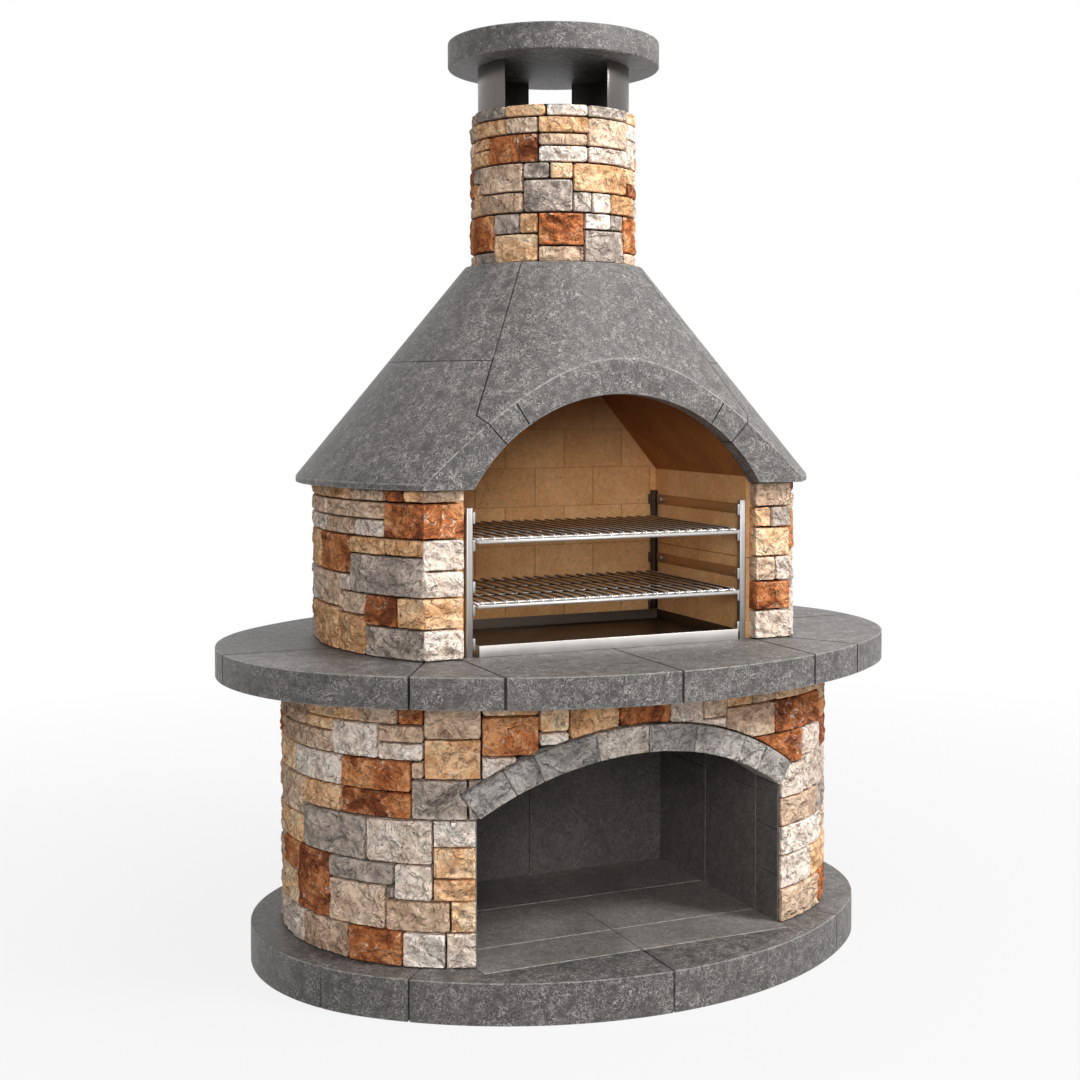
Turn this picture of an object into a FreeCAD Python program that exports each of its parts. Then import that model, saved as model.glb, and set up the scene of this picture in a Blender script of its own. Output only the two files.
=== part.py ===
import FreeCAD, Part
import math
import os
import random

from FreeCAD import Vector

# Masonry barbecue: an oval stone-clad wood store, a worktop, an open firebox, a conical hood and a chimney.
# Millimetres, +Z up, the front looks along -Y, the origin is under the middle of the worktop on the ground.

# Base slab, a four-centre oval
base_half_width = 783.0
base_half_depth = 608.0
base_end_radius = 490.0
base_height = 94.0
base_corner_seam_angle = 39.5
base_corner_seam_y = 252.0
base_side_seam_angle = 77.0
base_side_seam_y = -100.0
base_back_seam_angle = 128.0
slab_joint = 3.0

# Lower wall, measured over the faces of its cladding
wall_half_width = 709.0
wall_half_depth = 485.0
wall_end_radius = 442.0
wall_height = 600.0
wall_stone_depth = 30.0

# Wood store
store_half_width = 390.0
store_back_y = 188.0
store_lining = 25.0
store_panel_joint = 2.0
store_jamb_back_y = -310.0
store_jamb_nose = 6.0
store_jamb_inset = 14.0
store_jamb_count = 3
tile_front_y = -455.0
tile_row_ys = (-300.0, -41.0)

# Arch over the wood store
arch_spring_height = 334.0
arch_rise = 127.0
arch_ring = 62.0
arch_proud = 4.0
arch_joint = 2.0
arch_joint_angles = (0.0, 10.4, 22.1, 27.9)
arch_beige_index = 0

# Worktop, a four-centre oval
worktop_half_width = 866.0
worktop_half_depth = 645.0
worktop_end_radius = 513.0
worktop_thickness = 71.0
worktop_strip_half_width = 388.0
worktop_cross_joint_y = -60.0
worktop_corner_seam_angle = 30.0
worktop_wing_seam_y = -20.0

# Firebox body, flat in front and behind with curved sides, measured over the cladding
flue_axis_y = 39.0
body_half_width = 611.0
body_side_radius = 568.0
body_front_y = -321.0
body_back_y = 350.0
body_height = 387.0
body_stone_depth = 30.0
pillar_stone_depth = 35.0
opening_half_width = 383.0

# Firebrick lining
firebox_half_width = 372.0
firebox_back_y = 184.0
firebrick_thickness = 40.0
firebrick_length = 170.0
firebrick_height = 102.0
firebrick_joint = 1.5
side_brick_count = 4
side_brick_rise = 13.0
smoke_panel_lean = 40.0
smoke_chamber_height = 290.0
smoke_panel_clearance = 4.0

# Hood, an elliptical cone cut flat in front and behind
hood_half_width = 654.0
hood_half_depth = 596.0
hood_front_y = -354.0
hood_back_y = 385.0
hood_height = 534.0
hood_eave_height = 14.0
hood_top_radius = 224.0
hood_foot_wall = 95.0
hood_top_wall = 50.0
hood_front_wall = 55.0
hood_joint = 2.0
hood_bed = 0.3
hood_seam_height = 293.0
hood_front_seam_angle = 44.4
hood_arch_radius = 429.0
hood_arch_crown = 215.0
hood_arch_seam_angle = 47.0

# Chimney and cap
chimney_radius = 210.0
chimney_height = 382.0
chimney_stone_depth = 17.0
flue_radius = 150.0
cap_radius = 267.0
cap_thickness = 65.0
cap_edge_round = 5.0
support_height = 118.0
support_inset = 2.0
support_sheet = 3.0
support_front_window = 82.6
support_front_window_turn = -21.7
support_back_window = 35.0
support_back_window_turn = 158.2

# Cladding
stone_joint = 4.0
stone_bed = 0.3
stone_relief = 4.0
stone_seed = 7
wall_stone_column_counts = (9, 20)
chimney_stone_column_counts = (7, 15)
tall_stone_share = 0.25
split_stone_share = 0.35
tallest_stone_row_count = 13
least_split_row_count = 7

# Grill rack, grids and ash tray
upright_width = 17.0
upright_depth = 14.0
upright_sheet = 2.0
upright_height = 342.0
upright_corner = 4.0
upright_wall_gap = 3.0
upright_set_back = 26.0
rack_depth = 474.0
rail_height = 24.0
rail_thickness = 3.0
rail_levels = (319.0, 161.0)
clip_levels = (319.0, 256.0, 161.0, 108.0, 30.0)
clip_height = 26.0
clip_reach = 6.0
clip_depth = 10.0
lug_length = 28.0
lug_reach = 38.0
lug_thickness = 3.0
bolt_head_radius = 5.0
bolt_head_height = 3.0
bolt_inset = 26.0
grid_levels = (264.0, 116.0)
grid_side_gap = 10.0
grid_rear_gap = 10.0
grid_front_reach = 8.0
grid_bar_diameter = 9.0
grid_rod_diameter = 6.0
grid_wire_diameter = 5.0
grid_wire_count = 23
grid_inner_rod_count = 2
grid_tip_length = 14.0
slide_clearance = 0.3
tray_half_width = 341.0
tray_depth = 421.0
tray_height = 27.0
tray_sheet = 2.0
tray_front_reach = 10.0

# Levels worked out from the sizes above
wall_z = base_height
worktop_z = wall_z + wall_height
hearth_z = worktop_z + worktop_thickness
hood_z = hearth_z + body_height
hood_eave_z = hood_z + hood_eave_height
chimney_z = hood_z + hood_height
support_z = chimney_z + chimney_height
cap_z = support_z + support_height
far = 2.0 * (worktop_half_width + worktop_half_depth)
tiny = 0.01
full_turn = 360.0

KINDS = {"R": "rust", "H": "honey", "C": "cream", "G": "grey", "T": "taupe"}
KIND_MIX = "RHHCCGGTTT"

# Hand-laid stones, as first column, last column, first row, last row and kind, counted from the front middle
LOWER_COLUMN_COUNT = 386
LOWER_COURSES = (8, 8, 7, 7, 9, 7, 5, 5, 4)
LOWER_STONES = [
    (-47, -39, 0, 8, "C"), (-57, -47, 0, 8, "C"), (-71, -57, 0, 8, "R"), (-87, -71, 0, 8, "T"),
    (-103, -87, 0, 8, "C"), (-46, -39, 8, 15, "H"), (-61, -46, 8, 15, "T"), (-77, -61, 8, 18, "T"),
    (-90, -77, 8, 23, "R"), (-108, -90, 8, 16, "H"), (-101, -90, 16, 23, "R"), (-50, -39, 15, 20, "H"),
    (-59, -50, 15, 23, "C"), (-61, -59, 15, 18, "G"), (-50, -39, 20, 27, "H"), (-77, -59, 18, 23, "G"),
    (-50, -39, 27, 33, "C"), (-66, -50, 23, 33, "C"), (-87, -66, 23, 33, "G"), (-106, -87, 23, 30, "H"),
    (-100, -87, 30, 39, "T"), (-42, -39, 33, 42, "G"), (-55, -42, 33, 42, "G"), (-73, -55, 33, 39, "R"),
    (-73, -55, 39, 46, "R"), (-87, -73, 33, 39, "H"), (-92, -73, 39, 46, "C"), (-107, -92, 39, 46, "H"),
    (-52, -39, 42, 51, "H"), (-55, -52, 42, 46, "T"), (-63, -52, 46, 50, "C"), (-63, -52, 50, 54, "T"),
    (-76, -63, 46, 54, "C"), (-102, -76, 46, 51, "T"), (-86, -76, 51, 54, "H"), (-107, -86, 51, 56, "T"),
    (-52, -39, 51, 60, "T"), (-58, -52, 54, 60, "R"), (-68, -58, 54, 60, "T"), (-86, -68, 54, 60, "H"),
    (-101, -86, 56, 60, "H"), (-39, -26, 47, 56, "R"), (-39, -26, 56, 60, "H"), (-39, -31, 42, 47, "C"),
    (-26, -19, 49, 52, "C"), (-26, -19, 52, 60, "H"), (-19, -7, 49, 60, "H"), (-7, 6, 51, 60, "R"),
    (6, 15, 50, 60, "C"), (15, 22, 49, 52, "C"), (15, 22, 52, 60, "T"), (22, 31, 44, 46, "C"),
    (22, 38, 46, 54, "T"), (22, 30, 54, 60, "H"), (30, 38, 54, 60, "T"), (31, 49, 38, 46, "R"),
    (38, 60, 46, 54, "R"), (38, 60, 54, 60, "H"), (49, 60, 39, 46, "C"), (60, 74, 39, 46, "R"),
    (60, 77, 46, 51, "R"), (60, 72, 51, 56, "H"), (60, 76, 56, 60, "T"), (39, 49, 30, 38, "C"),
    (49, 79, 30, 39, "C"), (39, 58, 23, 30, "T"), (58, 73, 23, 30, "G"), (39, 62, 16, 23, "C"),
    (62, 77, 16, 23, "T"), (39, 54, 8, 16, "C"), (54, 71, 8, 16, "H"), (39, 59, 0, 8, "T"),
    (59, 75, 0, 8, "R"),
]
LOWER_OPEN = [(-39, 39, 0, 47), (-26, 22, 47, 52)]

CHIMNEY_COLUMN_COUNT = 134
CHIMNEY_COURSES = (3, 9, 5, 7, 7, 4, 3)
CHIMNEY_STONES = [
    (-46, -34, 0, 3, "T"), (-34, -26, 0, 3, "G"), (-26, -13, 0, 7, "H"), (-13, -1, 0, 4, "T"),
    (-1, 12, 0, 8, "G"), (12, 22, 0, 3, "T"), (-44, -26, 3, 12, "R"), (-26, -18, 7, 12, "G"),
    (-18, -13, 7, 12, "H"), (-13, -1, 4, 12, "R"), (-1, 7, 8, 12, "C"), (7, 12, 8, 12, "G"),
    (12, 25, 3, 12, "R"), (-32, -17, 12, 17, "T"), (-17, -4, 12, 20, "G"), (-4, 1, 12, 17, "G"),
    (1, 7, 12, 17, "C"), (7, 18, 12, 17, "H"), (18, 23, 12, 17, "G"), (-32, -17, 17, 24, "T"),
    (-36, -32, 12, 20, "H"), (-48, -36, 12, 17, "T"), (-45, -36, 17, 24, "R"), (-36, -32, 20, 24, "G"),
    (-17, -10, 20, 24, "G"), (-10, -4, 20, 24, "H"), (-4, 14, 17, 24, "H"), (14, 25, 17, 20, "R"),
    (14, 25, 20, 24, "H"), (-38, -28, 24, 28, "H"), (-38, -28, 28, 31, "H"), (-49, -38, 24, 31, "T"),
    (-28, -13, 24, 31, "R"), (-13, 0, 28, 31, "T"), (-13, 0, 24, 28, "C"), (0, 14, 24, 28, "C"),
    (0, 14, 28, 35, "T"), (14, 21, 24, 31, "C"), (14, 24, 31, 35, "C"), (-34, -22, 31, 35, "H"),
    (-44, -34, 31, 35, "T"), (-22, -13, 31, 35, "T"), (-13, 0, 31, 35, "H"), (-47, -34, 35, 38, "T"),
    (-34, -22, 35, 38, "G"), (-22, -11, 35, 38, "H"), (-11, 0, 35, 38, "C"), (0, 14, 35, 38, "G"),
    (14, 21, 35, 38, "H"),
]

# Stones of the firebox body, counted on each face from the edge nearest the opening
BODY_ROW_COUNT = 38
PILLAR_COLUMN_COUNT = 9
SIDE_COLUMN_COUNT = 75
BACK_COLUMN_COUNT = 109
LEFT_SIDE_COURSES = (5, 5, 8, 9, 4, 4, 3)
RIGHT_SIDE_COURSES = (7, 5, 9, 6, 4, 7)
BACK_COURSES = (6, 8, 5, 9, 4, 6)
LEFT_PILLAR_STONES = [
    (0, 9, 0, 7, "C"), (0, 9, 7, 14, "H"), (0, 9, 14, 20, "C"), (0, 9, 20, 27, "C"), (0, 9, 27, 35, "R"),
    (0, 9, 35, 38, "T"),
]
RIGHT_PILLAR_STONES = [
    (0, 9, 0, 7, "C"), (0, 9, 7, 14, "R"), (0, 5, 14, 20, "T"), (5, 9, 14, 20, "C"), (0, 9, 20, 27, "H"),
    (0, 4, 27, 32, "H"), (4, 9, 27, 32, "G"), (0, 9, 32, 38, "T"),
]
LEFT_SIDE_STONES = [
    (0, 6, 35, 38, "H"), (6, 12, 35, 38, "R"), (0, 12, 27, 35, "R"), (12, 25, 35, 38, "T"),
    (25, 38, 35, 38, "H"), (12, 38, 31, 35, "T"), (12, 23, 27, 31, "C"), (23, 38, 27, 31, "T"),
    (38, 58, 27, 31, "C"), (38, 61, 31, 35, "T"), (38, 56, 35, 38, "H"), (0, 12, 23, 27, "H"),
    (12, 25, 23, 27, "H"), (0, 25, 14, 23, "G"), (25, 31, 14, 18, "C"), (25, 43, 18, 27, "R"),
    (43, 62, 18, 27, "H"), (31, 47, 10, 18, "T"), (47, 57, 10, 18, "C"), (19, 31, 9, 14, "T"),
    (8, 19, 7, 14, "R"), (0, 8, 7, 14, "H"), (19, 31, 0, 9, "H"), (31, 48, 0, 10, "H"),
    (0, 19, 0, 7, "G"), (48, 59, 0, 5, "T"), (48, 62, 5, 10, "H"),
]

stones = {}


# Simple shapes

def box(x0, x1, y0, y1, z0, z1):
    return Part.makeBox(x1 - x0, y1 - y0, z1 - z0, Vector(x0, y0, z0))


def prism(points, z0, z1):
    """Upright prism over a plan polygon."""
    wire = Part.makePolygon([Vector(x, y, z0) for x, y in points + points[:1]])
    return Part.Face(wire).extrude(Vector(0, 0, z1 - z0))


def prism_along_y(points, y0, y1):
    """Prism over a polygon in X and Z, running from y0 to y1."""
    wire = Part.makePolygon([Vector(x, y0, z) for x, z in points + points[:1]])
    return Part.Face(wire).extrude(Vector(0, y1 - y0, 0))


def cylinder(radius, z0, z1, y):
    return Part.makeCylinder(radius, z1 - z0, Vector(0, y, z0))


def mirrored(shape):
    return shape.mirror(Vector(0, 0, 0), Vector(1, 0, 0))


def seam(angle, start_y, z0, z1):
    """Thin upright slab that leaves the centre line at an angle from the front, towards -X."""
    slab = box(-slab_joint / 2, slab_joint / 2, -far, 0, z0, z1)
    slab.rotate(Vector(0, 0, 0), Vector(0, 0, 1), -angle)
    slab.translate(Vector(0, start_y, 0))
    return slab


def both_sides(shape):
    return [shape, mirrored(shape)]


# Plan outlines: each runs anticlockwise seen from above, so its outside is on the right

class Line:
    """Straight stretch of an outline."""

    def __init__(self, start, end):
        self.start = Vector(*start)
        self.run = Vector(*end) - self.start
        self.length = self.run.Length
        self.along = self.run / self.length
        self.out = Vector(self.along.y, -self.along.x, 0)

    def point(self, s, offset):
        return self.start + self.along * s + self.out * offset

    def edge(self, s0, s1, offset):
        return Part.LineSegment(self.point(s0, offset), self.point(s1, offset)).toShape()


class Arc:
    """Round stretch of an outline, bulging outwards."""

    def __init__(self, centre, radius, start, end):
        self.centre = Vector(*centre)
        self.radius = radius
        self.start = start
        self.length = radius * (end - start)

    def point(self, s, offset):
        turn = self.start + s / self.radius
        return self.centre + Vector(math.cos(turn), math.sin(turn), 0) * (self.radius + offset)

    def edge(self, s0, s1, offset):
        middle = (s0 + s1) / 2
        return Part.Arc(self.point(s0, offset), self.point(middle, offset), self.point(s1, offset)).toShape()


def oval(half_width, half_depth, end_radius):
    """Arcs of a four-centre oval, from the back middle round the left end, the front and the right end."""
    end_x = half_width - end_radius
    bow = (end_x ** 2 + half_depth ** 2 - end_radius ** 2) / (2 * (half_depth - end_radius))
    bow_y = bow - half_depth
    turn = math.atan2(end_x, bow_y)
    quarter = math.pi / 2
    return [
        Arc((0, -bow_y), bow, quarter, quarter + turn),
        Arc((-end_x, 0), end_radius, quarter + turn, 3 * quarter - turn),
        Arc((0, bow_y), bow, 3 * quarter - turn, 3 * quarter + turn),
        Arc((end_x, 0), end_radius, 3 * quarter + turn, 5 * quarter - turn),
        Arc((0, -bow_y), bow, 5 * quarter - turn, 5 * quarter),
    ]


def outline_length(outline):
    return sum(stretch.length for stretch in outline)


def edges_between(outline, s0, s1, offset):
    """Edges of an outline from s0 to s1, moved outwards by offset. A closed outline may be passed twice."""
    edges = []
    begin = 0.0
    for stretch in outline:
        first = max(s0 - begin, 0.0)
        last = min(s1 - begin, stretch.length)
        if last - first > tiny:
            edges.append(stretch.edge(first, last, offset))
        begin += stretch.length
    return edges


def outline_solid(outline, offset, z0, z1):
    edges = edges_between(outline, 0.0, outline_length(outline), offset)
    face = Part.Face(Part.Wire(edges))
    solid = face.extrude(Vector(0, 0, z1 - z0))
    solid.translate(Vector(0, 0, z0))
    return solid


def strip_solid(outline, span, inner, outer, levels):
    """Piece of a layer along an outline, between two offsets and two levels."""
    outside = edges_between(outline, span[0], span[1], outer)
    inside = edges_between(outline, span[0], span[1], inner)
    first = Part.LineSegment(inside[0].firstVertex().Point, outside[0].firstVertex().Point).toShape()
    last = Part.LineSegment(outside[-1].lastVertex().Point, inside[-1].lastVertex().Point).toShape()
    wire = Part.Wire(Part.__sortEdges__(outside + [last] + inside + [first]))
    solid = Part.Face(wire).extrude(Vector(0, 0, levels[1] - levels[0]))
    solid.translate(Vector(0, 0, levels[0]))
    return solid


# Stone bond

class Bond:
    """Stones of a wall on a grid: the hand-laid ones, then a random bond laid course by course."""

    def __init__(self, columns, courses, laid, open_cells, rng, widths, closed=False):
        self.columns = columns
        self.rows = sum(courses)
        self.rng = rng
        self.closed = closed
        self.widths = widths
        self.taken = set()
        self.stones = list(laid)
        self.last_kind = ""
        for u0, u1, v0, v1, kind in laid:
            self.claim(u0, u1, v0, v1)
        for u0, u1, v0, v1 in open_cells:
            self.claim(u0, u1, v0, v1)
        self.lay_courses(courses)

    def cells(self, u0, u1, v0, v1):
        return {(u % self.columns, v) for u in range(u0, u1) for v in range(v0, v1)}

    def claim(self, u0, u1, v0, v1):
        self.taken |= self.cells(u0, u1, v0, v1)

    def is_free(self, u0, u1, v0, v1):
        return not self.cells(u0, u1, v0, v1) & self.taken

    def add(self, u0, u1, v0, v1):
        kind = self.rng.choice([k for k in KIND_MIX if k != self.last_kind])
        self.last_kind = kind
        self.stones.append((u0, u1, v0, v1, kind))
        self.claim(u0, u1, v0, v1)

    def lay_courses(self, courses):
        bed = 0
        joints = set()
        for index, height in enumerate(courses):
            above = courses[index + 1] if index + 1 < len(courses) else self.rows
            start = self.rng.randrange(self.columns) if self.closed else 0
            joints = self.lay_course(start, bed, height, above, joints)
            bed += height

    def lay_course(self, start, bed, height, above, joints):
        """Lay one course and return the columns of its upright joints."""
        shortest, longest = self.widths
        ends = set()
        u = start
        while u < start + self.columns:
            run = self.free_run(u, start + self.columns, bed, bed + height)
            if run == 0:
                u += 1
                continue
            width = self.rng.randint(shortest, longest)
            if any((u + width + k) % self.columns in joints for k in range(-2, 3)):
                width += 4
            if run - width < shortest:
                width = run if run <= longest else run // 2
            self.lay_block(u, u + width, bed, height, above)
            u += width
            ends.add(u % self.columns)
        return ends

    def free_run(self, u, end, v0, v1):
        """Number of columns from u on that are free over the whole height."""
        run = 0
        while u + run < end and self.is_free(u + run, u + run + 1, v0, v1):
            run += 1
        return run

    def lay_block(self, u0, u1, bed, height, above):
        """Fill a stretch of a course with one stone, stacked stones or one that rises a course more."""
        top = bed + height
        choice = self.rng.random()
        rises = height + above <= tallest_stone_row_count and self.is_free(u0, u1, bed, top + above)
        if choice < tall_stone_share and rises:
            self.add(u0, u1, bed, top + above)
        elif choice < tall_stone_share + split_stone_share and height >= least_split_row_count:
            split = bed + height // 2 + self.rng.randint(0, 1)
            self.add(u0, u1, bed, split)
            if u1 - u0 >= 2 * self.widths[0] - 2:
                middle = (u0 + u1) // 2 + self.rng.randint(-2, 2)
                self.add(u0, middle, split, top)
                self.add(middle, u1, split, top)
            else:
                self.add(u0, u1, split, top)
        else:
            self.add(u0, u1, bed, top)


def keep_stone(group, kind, solid):
    stones.setdefault(f"{group}_stones_{KINDS[kind]}", []).extend(solid.Solids)


def clad(group, outline, bond, depth, levels, cutter=None, within=None):
    """Stones along an outline, with their backs a bed off the core."""
    path = outline + outline if bond.closed else outline
    column = outline_length(outline) / bond.columns
    row = (levels[1] - levels[0]) / bond.rows
    half = stone_joint / 2
    for u0, u1, v0, v1, kind in bond.stones:
        face = bond.rng.uniform(-stone_relief, 0.0)
        first_gap = half if bond.closed or u0 > 0 else stone_bed
        last_gap = half if bond.closed or u1 < bond.columns else stone_bed
        span = (u0 * column + first_gap, u1 * column - last_gap)
        heights = (levels[0] + v0 * row + half, levels[0] + v1 * row - half)
        solid = strip_solid(path, span, stone_bed - depth, face, heights)
        if cutter is not None and solid.BoundBox.intersect(cutter.BoundBox):
            solid = solid.cut(cutter)
        if within is not None:
            solid = solid.common(within)
        keep_stone(group, kind, solid)


def from_front_middle(laid, columns):
    """Move hand-laid stones from the front middle to columns counted from the back middle."""
    return [(u0 + columns // 2, u1 + columns // 2, v0, v1, kind) for u0, u1, v0, v1, kind in laid]


def from_far_edge(laid, columns):
    """Count columns from the other end of a face."""
    return [(columns - u1, columns - u0, v0, v1, kind) for u0, u1, v0, v1, kind in laid]


# Base slab

def make_base():
    outline = oval(base_half_width, base_half_depth, base_end_radius)
    ring = outline_solid(outline, 0.0, 0.0, base_height)
    tile_x = store_half_width
    ring = ring.cut(box(-tile_x, tile_x, tile_front_y, store_back_y, 0.0, base_height))
    half = slab_joint / 2
    front_seam = box(-half, half, -far, tile_front_y, 0.0, base_height)
    beside = box(-far, -tile_x, -far, store_back_y, 0.0, base_height)
    corner = seam(base_corner_seam_angle, base_corner_seam_y, 0.0, base_height).common(beside)
    side = seam(base_side_seam_angle, base_side_seam_y, 0.0, base_height).common(beside)
    back = seam(base_back_seam_angle, 0.0, 0.0, base_height)
    for cutter in [front_seam] + both_sides(corner) + both_sides(side) + both_sides(back):
        ring = ring.cut(cutter)
    pieces = {}
    names = ["base_front", "base_corner", "base_side"]
    left = [s for s in ring.Solids if s.CenterOfMass.x < -1.0]
    middle = [s for s in ring.Solids if abs(s.CenterOfMass.x) <= 1.0]
    left.sort(key=lambda s: math.atan2(-s.CenterOfMass.x, -s.CenterOfMass.y))
    for name, solid in zip(names, left):
        pieces[name + "_left"] = solid
        pieces[name + "_right"] = mirrored(solid)
    pieces["base_back"] = middle[0]
    rows = [tile_front_y] + list(tile_row_ys) + [store_back_y]
    tiles = []
    for y0, y1 in zip(rows[:-1], rows[1:]):
        tile = box(-tile_x + stone_bed, -half, y0 + half, y1 - half, 0.0, base_height)
        tiles.extend(both_sides(tile))
    pieces["store_floor_tiles"] = Part.makeCompound(tiles)
    return pieces


# Lower wall with the wood store

arch_radius = (store_half_width ** 2 + arch_rise ** 2) / (2 * arch_rise)
arch_centre_z = wall_z + arch_spring_height + arch_rise - arch_radius
arch_half_angle = math.degrees(math.asin(store_half_width / arch_radius))


def arch_sector(radius, first, last, y0, y1):
    """Wedge about the arch centre between two angles from the crown, positive towards +X."""
    points = [(0.0, arch_centre_z)]
    for angle in (first, (first + last) / 2, last):
        turn = math.radians(angle)
        points.append((2 * radius * math.sin(turn), arch_centre_z + 2 * radius * math.cos(turn)))
    return prism_along_y(points, y0, y1)


def arch_drum(radius, y0, y1):
    return Part.makeCylinder(radius, y1 - y0, Vector(0, y0, arch_centre_z), Vector(0, 1, 0))


def arch_void(extra, door_extra, y0, y1):
    """Doorway with the whole arch ring, for cutting the core and the cladding."""
    sector = arch_sector(arch_radius, -arch_half_angle, arch_half_angle, y0, y1)
    crown = arch_drum(arch_radius + arch_ring + extra, y0, y1).common(sector)
    door_x = store_half_width + door_extra
    door = box(-door_x, door_x, y0, y1, wall_z, wall_z + arch_spring_height)
    return crown.fuse(door)


def make_lower_wall():
    outline = oval(wall_half_width, wall_half_depth, wall_end_radius)
    core = outline_solid(outline, -wall_stone_depth, wall_z, worktop_z)
    room_x = store_half_width + store_lining
    room = box(-room_x, room_x, store_jamb_back_y, store_back_y + store_lining, wall_z, worktop_z)
    core = core.cut(room)
    core = core.cut(arch_void(stone_bed, store_lining, -far, store_jamb_back_y))
    pieces = {"wall_core": core}

    face = outline_solid(outline, arch_proud, wall_z, worktop_z)
    joints = list(arch_joint_angles) + [arch_half_angle]
    gap = math.degrees(arch_joint / 2 / arch_radius)
    outer = arch_drum(arch_radius + arch_ring, -far, store_jamb_back_y)
    ring = outer.cut(arch_drum(arch_radius, -far, store_jamb_back_y)).common(face)
    grey = []
    beige = []
    for side in (-1, 1):
        for index, (first, last) in enumerate(zip(joints[:-1], joints[1:])):
            edges = (side * (first + gap), side * (last - gap))
            stone = ring.common(arch_sector(arch_radius, edges[0], edges[1], -far, store_jamb_back_y))
            group = beige if side < 0 and index == arch_beige_index else grey
            group.extend(stone.Solids)
    pieces["arch_stones_grey"] = Part.makeCompound(grey)
    pieces["arch_stones_beige"] = Part.makeCompound(beige)

    nose_face = outline_solid(outline, -store_jamb_inset, wall_z, worktop_z)
    jamb_face = outline_solid(outline, -wall_stone_depth, wall_z, worktop_z)
    block_height = arch_spring_height / store_jamb_count
    nose_x = store_half_width + store_jamb_nose
    jambs = []
    for index in range(store_jamb_count):
        z0 = wall_z + index * block_height
        z1 = z0 + block_height - store_panel_joint
        nose = box(store_half_width, nose_x, -far, store_jamb_back_y, z0, z1).common(nose_face)
        block = box(store_half_width, room_x, -far, store_jamb_back_y, z0, z1).common(jamb_face)
        jambs.extend(both_sides(block.fuse(nose).removeSplitter()))
    pieces["store_jamb_blocks"] = Part.makeCompound(jambs)

    half = store_panel_joint / 2
    middle_z = wall_z + wall_height / 2
    spans = [(wall_z, middle_z - half), (middle_z + half, worktop_z)]
    split_y = (store_jamb_back_y + store_back_y) / 2
    sides = []
    backs = []
    for z0, z1 in spans:
        for y0, y1 in ((store_jamb_back_y + half, split_y - half), (split_y + half, store_back_y)):
            sides.extend(both_sides(box(store_half_width, room_x, y0, y1, z0, z1)))
        backs.extend(both_sides(box(half, room_x, store_back_y, store_back_y + store_lining, z0, z1)))
    pieces["store_side_panels"] = Part.makeCompound(sides)
    pieces["store_back_panels"] = Part.makeCompound(backs)

    rng = random.Random(stone_seed)
    laid = from_front_middle(LOWER_STONES, LOWER_COLUMN_COUNT)
    middle = LOWER_COLUMN_COUNT // 2
    open_cells = [(u0 + middle, u1 + middle, v0, v1) for u0, u1, v0, v1 in LOWER_OPEN]
    widths = wall_stone_column_counts
    bond = Bond(LOWER_COLUMN_COUNT, LOWER_COURSES, laid, open_cells, rng, widths, closed=True)
    cutter = arch_void(stone_joint, store_jamb_nose + stone_bed, -far, store_jamb_back_y)
    clad("wall", outline, bond, wall_stone_depth, (wall_z, worktop_z), cutter=cutter)
    return pieces


# Worktop

def make_worktop():
    outline = oval(worktop_half_width, worktop_half_depth, worktop_end_radius)
    slab = outline_solid(outline, 0.0, worktop_z, hearth_z)
    strip = worktop_strip_half_width
    half = slab_joint / 2
    corner_x = body_corner_x(body_front_y, body_side_radius)
    tangent = math.tan(math.radians(worktop_corner_seam_angle))
    corner_start = body_front_y + corner_x / tangent
    cross_y = worktop_cross_joint_y
    cutters = both_sides(box(-strip - half, -strip + half, -far, far, worktop_z, hearth_z))
    cutters.append(box(-strip, strip, cross_y - half, cross_y + half, worktop_z, hearth_z))
    cutters.append(box(-half, half, -far, cross_y, worktop_z, hearth_z))
    corner = seam(worktop_corner_seam_angle, corner_start, worktop_z, hearth_z)
    corner = corner.common(box(-far, -strip, -far, far, worktop_z, hearth_z))
    cutters.extend(both_sides(corner))
    wing = box(-far, -strip, worktop_wing_seam_y - half, worktop_wing_seam_y + half, worktop_z, hearth_z)
    cutters.extend(both_sides(wing))
    for cutter in cutters:
        slab = slab.cut(cutter)
    pieces = {}
    wings = []
    for solid in slab.Solids:
        centre = solid.CenterOfMass
        if abs(centre.x) < 1.0:
            pieces["hearth_slab"] = solid
        elif -strip < centre.x < 0:
            pieces["worktop_front_left"] = solid
            pieces["worktop_front_right"] = mirrored(solid)
        elif centre.x < 0:
            wings.append(solid)
    wings.sort(key=lambda s: s.CenterOfMass.y)
    for name, solid in zip(("worktop_corner", "worktop_wing_front", "worktop_wing_back"), wings):
        pieces[name + "_left"] = solid
        pieces[name + "_right"] = mirrored(solid)
    return pieces


# Firebox body

def body_corner_x(y, radius):
    """Half width of the body where its curved side meets a flat face at y."""
    centre_x = body_half_width - body_side_radius
    return centre_x + math.sqrt(radius ** 2 - (y - flue_axis_y) ** 2)


def body_side(front_y, back_y, radius):
    """Right side of the body as an arc from the front corner to the back corner."""
    centre_x = body_half_width - body_side_radius
    start = math.asin((front_y - flue_axis_y) / radius)
    end = math.asin((back_y - flue_axis_y) / radius)
    return Arc((centre_x, flue_axis_y), radius, start, end)


def mitred_face(line, depth, mitres):
    """Layer of a flat face whose ends are mitred to meet the neighbouring faces."""
    corners = [
        line.point(0.0, 0.0),
        line.point(line.length, 0.0),
        line.point(line.length - mitres[1] * depth, -depth),
        line.point(mitres[0] * depth, -depth),
    ]
    return prism([(p.x, p.y) for p in corners], hearth_z, hood_z)


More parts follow.
